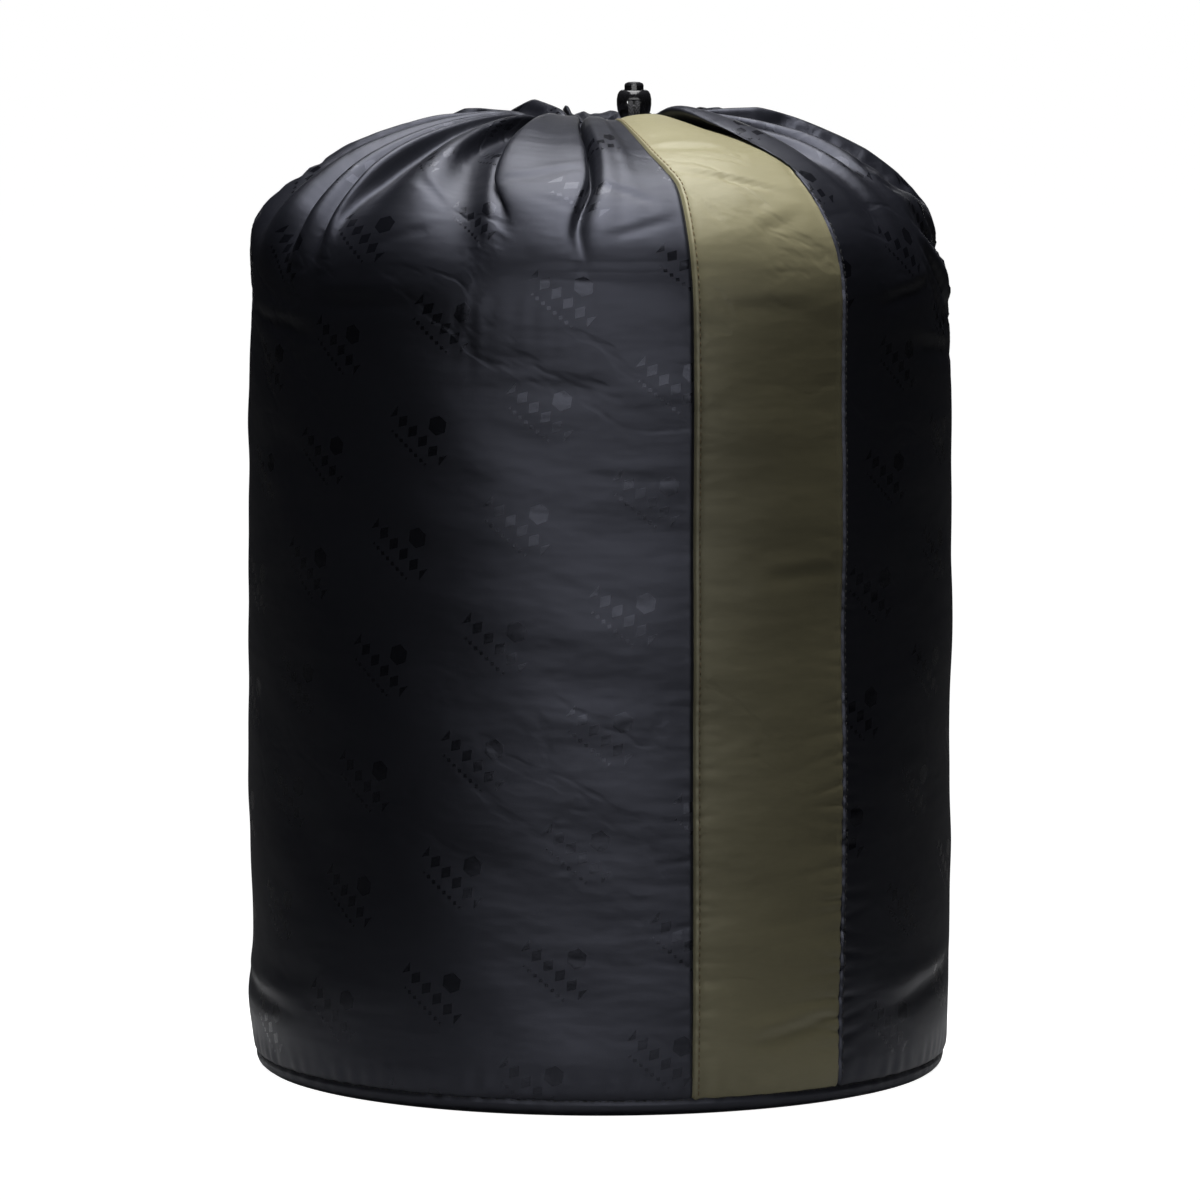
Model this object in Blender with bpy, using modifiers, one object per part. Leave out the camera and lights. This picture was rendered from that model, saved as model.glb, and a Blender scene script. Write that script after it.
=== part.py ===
"""A drawstring stuff sack for a sleeping bag, standing full with its mouth drawn in.

Metres, +Z up. The origin is the centre of the base, on the surface that the sack stands on.
The front is -Y. An azimuth is counted from the front towards +X, in degrees.
"""

import math

import bmesh
import bpy
from mathutils import Vector

# Driving dimensions of the sack
BODY_RADIUS = 0.1505
BARREL = 0.008  # share by which the wall draws in towards its ends
BARREL_MIDDLE = 0.190  # height of the widest place, and half the barrel's length
SHOULDER_HEIGHT = 0.331  # where the wall turns into the dome
DOME_RISE = 0.081
DOME_POWERS = (2.58, 2.41)  # superellipse powers, across and up
FOOT_HEIGHT = 0.027  # where the wall starts to curve in to the base seam
SEAM_RADIUS, SEAM_HEIGHT = 0.1477, 0.0069  # the seam between wall and base
BASE_FLAT_RADIUS = 0.141  # the part of the base that stands on the ground
STRIPE_START, STRIPE_END = 15.0, 42.5  # azimuths of the stripe's two seams

FABRIC = 0.0008  # thickness of a panel with what is sewn into it
THREAD_RADIUS = 0.0003
GAP = 0.0004  # left between pieces that touch
SEAM_HALF_GAP = THREAD_RADIUS + GAP  # from the middle of a seam to each panel's edge
BINDING_INSET = (0.0024, 0.0040)  # the base binding's faces, inwards from the base seam
BINDING_TOP = 0.018
FILLING_CLEARANCE = FABRIC + 0.001  # from the outside of the sack to what fills it

# The mouth: a hem folded over the drawcord, pulled into a small ring
RING_RADIUS, RING_HEIGHT = 0.0205, 0.4005  # centre of the hem's tube
HEM_RADIUS = 0.0030  # outside of the hem's tube
HEM_SLIT = 36.0  # degrees of the tube left open where the hem is sewn down
PANEL_TOP_RADIUS = RING_RADIUS + HEM_RADIUS + 2 * GAP + 2 * THREAD_RADIUS
MOUTH_DIP, MOUTH_DIP_WIDTH = 0.0085, 0.0105  # the dome sinks towards the mouth

# The drawcord: both its ends leave the hem by a buttonhole and pass through the cord lock
CORD_RADIUS = 0.00125
STRAND_OFFSET = CORD_RADIUS + 0.00015  # from between the two strands to each one
EXIT_AZIMUTH = 45.0
EXIT_BEND, LOCK_BEND = 0.002, 0.0075  # bend radii in the buttonhole and before the lock
CORD_CLEARANCE = 0.0003  # round the strands in the buttonhole and the lock
TAIL_POINTS = 62

# The cord lock. Heights are from the middle of the strands.
CORD_LEVEL = 0.4134
BARREL_RADIUS, BORE_RADIUS, PLUNGER_RADIUS = 0.0073, 0.0044, 0.0041
BARREL_BOTTOM, BORE_FLOOR, BARREL_TOP = -0.0086, -0.0078, 0.0050
PLUNGER_BOTTOM, PLUNGER_TOP = -0.0024, 0.0088
PRESS_TRAVEL = 0.0024
PINCH_GAP = 0.00015  # between the plunger's slot and the strands that it clamps
SPRING_RADIUS, WIRE_RADIUS, SPRING_TURNS = 0.0030, 0.00022, 3
KNOT_RADIUS, KNOT_SHAPE = 0.0045, (1.0, 0.8, 1.25)

ROUND_STEPS = 48  # facets round the sack


def azimuth_vector(azimuth, radius=1.0, height=0.0):
    """The point at an azimuth and a radius from the sack's axis."""
    angle = math.radians(azimuth)
    return Vector((radius * math.sin(angle), -radius * math.cos(angle), height))


EXIT = azimuth_vector(EXIT_AZIMUTH, RING_RADIUS, RING_HEIGHT)
LOCK = Vector((EXIT.x, EXIT.y + LOCK_BEND + BARREL_RADIUS + GAP, CORD_LEVEL))


# Scene and materials


def clear_scene():
    for obj in list(bpy.data.objects):
        bpy.data.objects.remove(obj)


def collection(name):
    made = bpy.data.collections.new(name)
    bpy.context.scene.collection.children.link(made)
    return made


def material(name, colour, roughness, metallic=0.0):
    made = bpy.data.materials.new(name)
    made.use_nodes = True
    shader = made.node_tree.nodes["Principled BSDF"]
    shader.inputs["Base Color"].default_value = (*colour, 1.0)
    shader.inputs["Roughness"].default_value = roughness
    shader.inputs["Metallic"].default_value = metallic
    return made


clear_scene()
SACK = collection("stuff_sack")
CUTTERS = collection("cutters")
CHARCOAL = material("charcoal_nylon", (0.030, 0.031, 0.038), 0.42)
OLIVE = material("olive_nylon", (0.150, 0.135, 0.070), 0.45)
THREAD = material("sewing_thread", (0.012, 0.012, 0.012), 0.60)
CORD = material("braided_cord", (0.015, 0.015, 0.016), 0.65)
PLASTIC = material("black_plastic", (0.010, 0.010, 0.011), 0.22)
STEEL = material("spring_steel", (0.55, 0.55, 0.57), 0.30, metallic=1.0)
FILLING = material("sleeping_bag_shell", (0.040, 0.042, 0.050), 0.55)
BINDING = material("binding_tape", (0.020, 0.020, 0.022), 0.70)


# Shapes


def add(name, data, surface, where=SACK):
    obj = bpy.data.objects.new(name, data)
    where.objects.link(obj)
    if surface:
        data.materials.append(surface)
    return obj


def profile_mesh(name, profile):
    """An open chain of edges through (radius, height) points, in the XZ plane."""
    made = bpy.data.meshes.new(name)
    points = [(radius, 0.0, height) for radius, height in profile]
    made.from_pydata(points, [(i, i + 1) for i in range(len(points) - 1)], [])
    return made


def turned(name, profile, surface, steps=ROUND_STEPS, start=0.0, span=360.0, wall=None):
    """A profile, listed down its outer side, turned about Z. wall makes it a shell."""
    obj = add(name, profile_mesh(name, profile), surface)
    obj.rotation_euler.z = math.radians(start - 90.0)
    screw = obj.modifiers.new("turn", "SCREW")
    screw.angle = math.radians(span)
    screw.steps = screw.render_steps = steps
    screw.use_merge_vertices = span == 360.0
    screw.merge_threshold = 1e-5
    if wall:
        shell = obj.modifiers.new("thickness", "SOLIDIFY")
        shell.thickness = wall
        shell.offset = -1.0
        shell.use_even_offset = True
    return obj


def tube(name, points, radius, surface, cyclic=False):
    """A round cord, wire or thread along a chain of points."""
    curve = bpy.data.curves.new(name, "CURVE")
    curve.dimensions = "3D"
    curve.bevel_depth = radius
    curve.bevel_resolution = 2
    curve.use_fill_caps = True
    spline = curve.splines.new("POLY")
    spline.points.add(len(points) - 1)
    for place, point in zip(spline.points, points):
        place.co = (*point, 1.0)
    spline.use_cyclic_u = cyclic
    return add(name, curve, surface)


def slot_cutter(name, centre, size, turn=0.0):
    """A box with its upright edges rounded into a slot."""
    made = bpy.data.meshes.new(name)
    build = bmesh.new()
    bmesh.ops.create_cube(build, size=1.0)
    bmesh.ops.scale(build, vec=size, verts=build.verts)
    build.to_mesh(made)
    build.free()
    obj = add(name, made, None, CUTTERS)
    obj.location = centre
    obj.rotation_euler.z = math.radians(turn)
    obj.hide_render = True
    obj.display_type = "WIRE"
    return obj


def round_along(obj, axis, radius):
    """Rounds the cutter's four edges that run along an axis."""
    weights = obj.data.attributes.new("bevel_weight_edge", "FLOAT", "EDGE")
    for edge, weight in zip(obj.data.edges, weights.data):
        one, other = (obj.data.vertices[i].co for i in edge.vertices)
        weight.value = float(abs((one - other).normalized()[axis]) > 0.9)
    bevel = obj.modifiers.new("round", "BEVEL")
    bevel.limit_method = "WEIGHT"
    bevel.width = radius
    bevel.segments = 4


def cut(obj, cutter):
    modifier = obj.modifiers.new("cut_" + cutter.name, "BOOLEAN")
    modifier.operation = "DIFFERENCE"
    modifier.object = cutter


def catmull_rom(points, count):
    """count points, evenly spaced along a smooth curve through the given ones."""
    chain = [2 * points[0] - points[1], *points, 2 * points[-1] - points[-2]]
    fine = []
    for before, start, end, after in zip(chain, chain[1:], chain[2:], chain[3:]):
        for step in range(40):
            t = step / 40
            fine.append(
                0.5
                * (
                    2 * start
                    + (end - before) * t
                    + (2 * before - 5 * start + 4 * end - after) * t**2
                    + (3 * start - before - 3 * end + after) * t**3
                )
            )
    fine.append(points[-1])
    return evenly(fine, count)


def evenly(chain, count):
    """The chain again, as count evenly spaced points."""
    steps = [(b - a).length for a, b in zip(chain, chain[1:])]
    wanted = [sum(steps) * i / (count - 1) for i in range(count)]
    spaced, walked, index = [], 0.0, 0
    for distance in wanted:
        while index < len(steps) - 1 and walked + steps[index] < distance:
            walked += steps[index]
            index += 1
        share = min(1.0, (distance - walked) / steps[index])
        spaced.append(chain[index].lerp(chain[index + 1], share))
    return spaced


# The sack's outline


def barrel_radius(height):
    return BODY_RADIUS * (1 - BARREL * ((height - BARREL_MIDDLE) / BARREL_MIDDLE) ** 2)


def dome_height(radius):
    """Height of the dome's outer face at a radius, with the dip round the mouth."""
    across, up = DOME_POWERS
    share = min(1.0, radius / barrel_radius(SHOULDER_HEIGHT))
    rise = DOME_RISE * (1 - share**across) ** (1 / up)
    dip = MOUTH_DIP * math.exp(-(((radius - PANEL_TOP_RADIUS) / MOUTH_DIP_WIDTH) ** 2))
    return SHOULDER_HEIGHT + rise - dip


def dome_profile(points=11):
    """From the mouth out to the shoulder, closer together where the dome turns."""
    widest = barrel_radius(SHOULDER_HEIGHT)
    turn = [math.sin(math.pi / 2 * (i / points) ** 0.8) for i in range(points)]
    radii = [PANEL_TOP_RADIUS + (widest - PANEL_TOP_RADIUS) * share for share in turn]
    return [(radius, dome_height(radius)) for radius in radii]


def wall_profile(points=4):
    """From the shoulder down to where the foot curves in."""
    span = SHOULDER_HEIGHT - FOOT_HEIGHT
    heights = [SHOULDER_HEIGHT - span * i / points for i in range(points + 1)]
    return [(barrel_radius(height), height) for height in heights]


def foot_profile(points=4):
    """From the foot's top in to the base seam, a quarter of an ellipse."""
    top = barrel_radius(FOOT_HEIGHT)
    turns = [math.pi / 2 * i / points for i in range(1, points + 1)]
    return [
        (
            SEAM_RADIUS + (top - SEAM_RADIUS) * math.cos(turn),
            FOOT_HEIGHT - (FOOT_HEIGHT - SEAM_HEIGHT) * math.sin(turn),
        )
        for turn in turns
    ]


def side_profile():
    """The wall's outer face from the mouth down to just above the base seam."""
    return dome_profile() + wall_profile() + foot_profile()


def moved_in(profile, distance):
    """The profile moved towards the inside of the sack, square to its own line."""
    inside = []
    for i, (radius, height) in enumerate(profile):
        before, after = profile[max(i - 1, 0)], profile[min(i + 1, len(profile) - 1)]
        along = Vector((after[0] - before[0], after[1] - before[1])).normalized()
        inside.append((radius + along.y * distance, height - along.x * distance))
    return inside


# Panels, seams and filling


def seam_slit(name, azimuth):
    """A thin upright cutter from the axis outwards, for the joint between two wall panels."""
    size = (2 * SEAM_HALF_GAP, 1.5 * BODY_RADIUS, 2 * SHOULDER_HEIGHT)
    centre = azimuth_vector(azimuth, size[1] / 2, SHOULDER_HEIGHT / 2)
    return slot_cutter(name, centre, size, azimuth)


def sewn_panel(name, start, end, surface, steps, slits):
    """A wall panel between two seams, each a half gap short of the seam's middle."""
    panel = turned(name, side_profile(), surface, steps, start, end - start, FABRIC)
    for slit in slits:
        cut(panel, slit)
    return panel


def side_seam_thread(name, azimuth):
    """The line of thread down the joint between two wall panels."""
    middle = moved_in(side_profile(), FABRIC / 2)
    points = [azimuth_vector(azimuth, radius, height) for radius, height in middle]
    return tube(name, points, THREAD_RADIUS, THREAD)


def round_seam_thread(name, radius, height, points):
    """A closed ring of thread about the sack's axis."""
    ring = [azimuth_vector(360 * i / points, radius, height) for i in range(points)]
    return tube(name, ring, THREAD_RADIUS, THREAD, cyclic=True)


def base_panel():
    """The round bottom: flat on the ground, curving up to the base seam."""
    rim_top = (SEAM_RADIUS, SEAM_HEIGHT - 2 * SEAM_HALF_GAP)
    rim = [
        (
            BASE_FLAT_RADIUS + (rim_top[0] - BASE_FLAT_RADIUS) * math.sin(turn),
            rim_top[1] * (1 - math.cos(turn)),
        )
        for turn in (math.pi / 2, math.pi / 3, math.pi / 6, 0.0)
    ]
    return turned("base_panel", [*rim, (0.0, 0.0)], CHARCOAL, wall=FABRIC)


def base_binding():
    """Tape folded over the seam allowance that stands up inside the base seam."""
    outer, inner = (SEAM_RADIUS - inset for inset in BINDING_INSET)
    ring = [
        (outer, BINDING_TOP),
        (outer, SEAM_HEIGHT),
        (inner, SEAM_HEIGHT),
        (inner, BINDING_TOP),
        (outer, BINDING_TOP),
    ]
    return turned("base_seam_binding", ring, BINDING)


def packed_sleeping_bag():
    """What fills the sack and gives it its shape, up to just below the mouth."""
    top = RING_HEIGHT - HEM_RADIUS - FILLING_CLEARANCE
    bottom = FABRIC + GAP
    beside_binding = SEAM_RADIUS - BINDING_INSET[1] - FILLING_CLEARANCE
    face = moved_in(side_profile(), FILLING_CLEARANCE)
    under_mouth = [(face[0][0], min(face[0][1], top))]
    above_binding = [place for place in face[1:] if place[1] > BINDING_TOP + GAP]
    outline = [
        (0.0, top),
        *under_mouth,
        *above_binding,
        (beside_binding, BINDING_TOP),
        (beside_binding, SEAM_HEIGHT),
        (BASE_FLAT_RADIUS - FILLING_CLEARANCE, bottom),
        (0.0, bottom),
    ]
    return turned("packed_sleeping_bag", outline, FILLING)


# Mouth and drawcord


def drawcord_hem():
    """The fabric tube that holds the drawcord, slit below where it is sewn down."""
    closed = 360.0 - HEM_SLIT
    turns = [math.radians(-90.0 - HEM_SLIT / 2 - closed * i / 12) for i in range(13)]
    ring = [
        (
            RING_RADIUS + HEM_RADIUS * math.cos(turn),
            RING_HEIGHT + HEM_RADIUS * math.sin(turn),
        )
        for turn in turns
    ]
    hem = turned("drawcord_hem", ring, CHARCOAL, steps=36, wall=FABRIC)
    strands = 2 * (STRAND_OFFSET + CORD_RADIUS + CORD_CLEARANCE)
    size = (strands, 2 * (CORD_RADIUS + CORD_CLEARANCE), 2 * HEM_RADIUS)
    centre = EXIT + Vector((0, 0, HEM_RADIUS))
    buttonhole = slot_cutter("buttonhole", centre, size, EXIT_AZIMUTH)
    round_along(buttonhole, 2, 0.0013)
    cut(hem, buttonhole)
    return hem


def buttonhole_stitching():
    """The oval of close stitches round the buttonhole, lying on the hem."""
    across = CORD_RADIUS + CORD_CLEARANCE + 0.0007
    along = STRAND_OFFSET + across
    tangent, inward = azimuth_vector(EXIT_AZIMUTH + 90), azimuth_vector(EXIT_AZIMUTH)
    points = []
    for i in range(20):
        turn = 2 * math.pi * i / 20
        side = across * math.sin(turn)
        lift = math.sqrt(HEM_RADIUS**2 - side**2) + THREAD_RADIUS + GAP
        place = EXIT + tangent * along * math.cos(turn) + inward * side
        points.append(place + Vector((0, 0, lift)))
    return tube("buttonhole_stitching", points, THREAD_RADIUS, THREAD, cyclic=True)


def cord_in_hem():
    """The drawcord inside the hem, its two ends turned up into the buttonhole."""
    step_back = math.degrees((STRAND_OFFSET + EXIT_BEND) / RING_RADIUS)
    first, last = EXIT_AZIMUTH + step_back, EXIT_AZIMUTH + 360 - step_back
    count = 40
    ring = [
        azimuth_vector(first + (last - first) * i / count, RING_RADIUS, RING_HEIGHT)
        for i in range(count + 1)
    ]
    tangent = azimuth_vector(EXIT_AZIMUTH + 90)
    ends = {}
    for side in (1, -1):
        bend = []
        for turn in (30, 60, 90):
            along = STRAND_OFFSET + EXIT_BEND * (1 - math.sin(math.radians(turn)))
            rise = EXIT_BEND * (1 - math.cos(math.radians(turn)))
            bend.append(EXIT + tangent * side * along + Vector((0, 0, rise)))
        top = EXIT + tangent * side * STRAND_OFFSET
        ends[side] = [*bend, top + Vector((0, 0, HEM_RADIUS))]
    points = ends[1][::-1] + ring + ends[-1]
    return tube("drawcord_in_hem", points, CORD_RADIUS, CORD)


def lying_on_back(radius, sway=0.0):
    """A point of the tail on the dome behind the mouth, just clear of the fabric."""
    (r0, z0), (r1, z1) = [(r, dome_height(r)) for r in (radius - 0.001, radius + 0.001)]
    out = Vector((z0 - z1, r1 - r0)).normalized() * (CORD_RADIUS + 2 * GAP)
    return Vector((LOCK.x + sway, radius + out.x, dome_height(radius) + out.y))


def hanging_on_back(height, sway=0.0):
    """A point of the tail down the back of the wall, just clear of the fabric."""
    away = barrel_radius(height) + CORD_RADIUS + 2 * GAP
    return Vector((LOCK.x + sway, away, height))


def tail_route():
    """The middle line of the two strands after the lock, over the dome and down the back."""
    level = Vector((LOCK.x, 0.0, CORD_LEVEL))
    straight = [level + Vector((0, y, 0)) for y in (LOCK.y, 0.018, 0.032)]
    dome = [
        lying_on_back(0.062, 0.001),
        lying_on_back(0.085, 0.003),
        lying_on_back(0.110, 0.004),
        lying_on_back(0.130, 0.004),
        lying_on_back(0.142, 0.003),
    ]
    wall = [
        hanging_on_back(0.330, 0.001),
        hanging_on_back(0.300, -0.002),
        hanging_on_back(0.250, -0.005),
        hanging_on_back(0.200, -0.003),
        hanging_on_back(0.150, 0.003),
        hanging_on_back(0.105, 0.007),
        hanging_on_back(0.070, 0.006),
    ]
    return straight + dome + wall


def tail(side):
    """One strand from the buttonhole through the lock to the knot."""
    tangent, across = azimuth_vector(EXIT_AZIMUTH + 90), Vector((1, 0, 0))
    foot = EXIT + tangent * side * STRAND_OFFSET
    start = foot + Vector((0, 0, HEM_RADIUS + GAP))
    rise_end = CORD_LEVEL - LOCK_BEND
    points = [start, Vector((foot.x, foot.y, rise_end))]
    for turn in (15, 30, 45, 60, 75, 90):
        angle = math.radians(turn)
        middle = Vector(
            (
                EXIT.x,
                EXIT.y + LOCK_BEND * (1 - math.cos(angle)),
                rise_end + LOCK_BEND * math.sin(angle),
            )
        )
        beside = tangent.lerp(across, turn / 90).normalized()
        points.append(middle + beside * side * STRAND_OFFSET)
    shift = across * side * STRAND_OFFSET
    points += [point + shift for point in catmull_rom(tail_route(), TAIL_POINTS)]
    name = "drawcord_tail_right" if side > 0 else "drawcord_tail_left"
    return tube(name, points, CORD_RADIUS, CORD)


def end_knot():
    """The overhand knot that joins the two strands, as a rounded lump."""
    made = bpy.data.meshes.new("drawcord_end_knot")
    build = bmesh.new()
    bmesh.ops.create_uvsphere(build, u_segments=14, v_segments=9, radius=KNOT_RADIUS)
    bmesh.ops.scale(build, vec=KNOT_SHAPE, verts=build.verts)
    build.to_mesh(made)
    build.free()
    made.shade_smooth()
    _, depth, half_height = (KNOT_RADIUS * share for share in KNOT_SHAPE)
    obj = add("drawcord_end_knot", made, CORD)
    obj.location = tail_route()[-1] + Vector((0, depth - CORD_RADIUS, -half_height - GAP))
    return obj


# Cord lock


def placed_on_lock(obj, centre):
    obj.parent = centre
    return obj


def lock_slot(name, low, high, length):
    """A cutter for the strands' way through the lock, along Y."""
    width = 2 * (STRAND_OFFSET + CORD_RADIUS + CORD_CLEARANCE)
    centre = LOCK + Vector((0, 0, (low + high) / 2))
    return slot_cutter(name, centre, (width, length, high - low))


def lock_barrel(centre):
    """The round body, with a bore for the plunger and a way through for the strands."""
    rim = BARREL_TOP - 0.0005
    outer = [
        (BORE_RADIUS + 0.0012, BARREL_TOP),
        (BORE_RADIUS + 0.0017, rim),
        (BARREL_RADIUS - 0.0005, 0.0028),
        (BARREL_RADIUS, 0.0008),
        (BARREL_RADIUS, -0.0015),
        (BARREL_RADIUS - 0.0006, -0.0042),
        (BARREL_RADIUS - 0.0018, -0.0065),
        (BARREL_RADIUS - 0.0036, BARREL_BOTTOM + 0.0006),
        (BARREL_RADIUS - 0.0050, BARREL_BOTTOM),
        (0.0, BARREL_BOTTOM),
    ]
    bore = [(0.0, BORE_FLOOR), (BORE_RADIUS, BORE_FLOOR), (BORE_RADIUS, BARREL_TOP)]
    barrel = turned("cord_lock_barrel", bore + outer, PLASTIC, steps=24)
    half = CORD_RADIUS + CORD_CLEARANCE
    way = lock_slot("barrel_way", -half, half, 4 * BARREL_RADIUS)
    round_along(way, 1, 0.0012)
    cut(barrel, way)
    return placed_on_lock(barrel, centre)


def lock_plunger(centre):
    """The push button, whose slot pinches the strands against the barrel's way."""
    outline = [
        (0.0, PLUNGER_TOP),
        (PLUNGER_RADIUS * 0.6, PLUNGER_TOP - 0.0002),
        (PLUNGER_RADIUS * 0.9, PLUNGER_TOP - 0.0007),
        (PLUNGER_RADIUS, PLUNGER_TOP - 0.0015),
        (PLUNGER_RADIUS, PLUNGER_BOTTOM),
        (0.0, PLUNGER_BOTTOM),
    ]
    plunger = turned("cord_lock_plunger", outline, PLASTIC, steps=24)
    low = -CORD_RADIUS - PINCH_GAP
    high = CORD_RADIUS + PINCH_GAP + PRESS_TRAVEL
    cut(plunger, lock_slot("plunger_slot", low, high, 4 * PLUNGER_RADIUS))
    return placed_on_lock(plunger, centre)


def lock_spring(centre):
    """The coil that pushes the plunger up."""
    bottom = BORE_FLOOR + WIRE_RADIUS + GAP
    top = PLUNGER_BOTTOM - WIRE_RADIUS - GAP
    count = SPRING_TURNS * 12
    points = []
    for i in range(count + 1):
        turn = 2 * math.pi * SPRING_TURNS * i / count
        height = bottom + (top - bottom) * i / count
        ring = Vector((math.cos(turn), math.sin(turn), 0)) * SPRING_RADIUS
        points.append(ring + Vector((0, 0, height)))
    spring = tube("cord_lock_spring", points, WIRE_RADIUS, STEEL)
    return placed_on_lock(spring, centre)


def cord_lock():
    centre = bpy.data.objects.new("cord_lock_centre", None)
    SACK.objects.link(centre)
    centre.location = LOCK
    lock_barrel(centre)
    lock_plunger(centre)
    lock_spring(centre)


def main():
    packed_sleeping_bag()
    slits = [seam_slit("slit_left", STRIPE_START), seam_slit("slit_right", STRIPE_END)]
    sewn_panel("body_panel", STRIPE_END, STRIPE_START + 360.0, CHARCOAL, 44, slits)
    sewn_panel("accent_stripe", STRIPE_START, STRIPE_END, OLIVE, 4, slits)
    base_panel()
    base_binding()
    side_seam_thread("side_seam_thread_left", STRIPE_START)
    side_seam_thread("side_seam_thread_right", STRIPE_END)
    base_seam_height = SEAM_HEIGHT - SEAM_HALF_GAP
    round_seam_thread("base_seam_thread", SEAM_RADIUS - FABRIC / 2, base_seam_height, 48)
    hem_seam_radius = PANEL_TOP_RADIUS - GAP - THREAD_RADIUS
    hem_seam_height = dome_height(PANEL_TOP_RADIUS) - FABRIC / 2
    round_seam_thread("hem_seam_thread", hem_seam_radius, hem_seam_height, 36)
    drawcord_hem()
    buttonhole_stitching()
    cord_in_hem()
    tail(-1)
    tail(1)
    end_knot()
    cord_lock()


main()
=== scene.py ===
"""The looks of the drawstring stuff sack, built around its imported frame.

Metres, +Z up, in the frame of the CAD model. The front is -Y. An azimuth is counted from the
front towards +X, in degrees. The cloth is one grid: columns run round the sack, each named by
its azimuth on the wall, and rows run up the cloth from the base seam to the mouth.
"""

import math

import bmesh
import bpy
import numpy as np
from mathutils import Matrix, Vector

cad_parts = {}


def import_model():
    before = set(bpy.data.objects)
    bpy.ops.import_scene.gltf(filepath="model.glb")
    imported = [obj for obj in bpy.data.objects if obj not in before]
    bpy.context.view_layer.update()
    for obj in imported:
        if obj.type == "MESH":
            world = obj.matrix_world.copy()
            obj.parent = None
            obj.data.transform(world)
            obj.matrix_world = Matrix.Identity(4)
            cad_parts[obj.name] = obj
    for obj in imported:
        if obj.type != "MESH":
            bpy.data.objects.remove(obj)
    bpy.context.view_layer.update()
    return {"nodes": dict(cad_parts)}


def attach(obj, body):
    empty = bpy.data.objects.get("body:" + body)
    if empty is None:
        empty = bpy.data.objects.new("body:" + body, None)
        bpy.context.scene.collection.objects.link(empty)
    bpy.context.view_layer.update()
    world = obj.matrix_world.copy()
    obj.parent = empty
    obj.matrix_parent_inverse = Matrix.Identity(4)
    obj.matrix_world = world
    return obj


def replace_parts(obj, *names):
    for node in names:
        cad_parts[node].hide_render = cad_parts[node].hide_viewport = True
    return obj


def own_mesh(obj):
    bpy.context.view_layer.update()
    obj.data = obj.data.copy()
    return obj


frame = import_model()

# The outline, as in the CAD source
BODY_RADIUS, BARREL, BARREL_MIDDLE = 0.1505, 0.008, 0.190
SHOULDER_HEIGHT, DOME_RISE, DOME_POWERS = 0.331, 0.081, (2.58, 2.41)
FOOT_HEIGHT, SEAM_RADIUS, SEAM_HEIGHT = 0.027, 0.1477, 0.0069
BASE_FLAT_RADIUS = 0.141
SEAM_LEFT, SEAM_RIGHT = 15.0, 42.5  # the olive stripe lies between them
RING_RADIUS, RING_HEIGHT, HEM_RADIUS = 0.0205, 0.4005, 0.0030
PANEL_TOP_RADIUS = 0.0249
MOUTH_DIP, MOUTH_DIP_WIDTH = 0.0085, 0.0105
CORD_RADIUS, STRAND_OFFSET, EXIT_AZIMUTH = 0.00125, 0.0014, 45.0
CORD_LEVEL, EXIT_BEND, LOCK_BEND, CLEAR = 0.4134, 0.002, 0.0075, 0.0004
LOCK_RADIUS, KNOT_RADIUS, KNOT_SHAPE, TAIL_POINTS = 0.0073, 0.0045, (1.0, 0.8, 1.25), 62

# The camera: far away and a little above the sack's middle
CAMERA_PLACE, CAMERA_AIM = Vector((0.0, -4.0, 0.65)), Vector((0.0, 0.0, 0.20))
VIEW_WIDTH = 0.5143  # what the frame spans at the sack's axis


def azimuth_vector(azimuth, radius=1.0, height=0.0):
    angle = math.radians(azimuth)
    return Vector((radius * math.sin(angle), -radius * math.cos(angle), height))


def barrel_radius(height):
    """The wall's radius: it draws in a little towards its ends."""
    return BODY_RADIUS * (1 - BARREL * ((height - BARREL_MIDDLE) / BARREL_MIDDLE) ** 2)


def dome_height(radius):
    """The dome's height: a superellipse that dips to the mouth."""
    across, up = DOME_POWERS
    share = min(1.0, radius / barrel_radius(SHOULDER_HEIGHT))
    rise = DOME_RISE * (1 - share**across) ** (1 / up)
    dip = MOUTH_DIP * math.exp(-(((radius - PANEL_TOP_RADIUS) / MOUTH_DIP_WIDTH) ** 2))
    return SHOULDER_HEIGHT + rise - dip


EXIT = azimuth_vector(EXIT_AZIMUTH, RING_RADIUS, RING_HEIGHT)
LOCK = Vector((EXIT.x, EXIT.y + LOCK_BEND + LOCK_RADIUS + CLEAR, CORD_LEVEL))


def make_camera():
    """A long lens, whose frame spans VIEW_WIDTH where it aims."""
    data = bpy.data.cameras.new("camera")
    camera = bpy.data.objects.new("camera", data)
    bpy.context.scene.collection.objects.link(camera)
    sight = CAMERA_AIM - CAMERA_PLACE
    camera.location = CAMERA_PLACE
    camera.rotation_euler = sight.to_track_quat("-Z", "Y").to_euler()
    data.lens = data.sensor_width * sight.length / VIEW_WIDTH
    data.clip_start, data.clip_end = 0.1, 100.0
    bpy.context.scene.camera = camera


make_camera()

# Node materials


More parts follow.
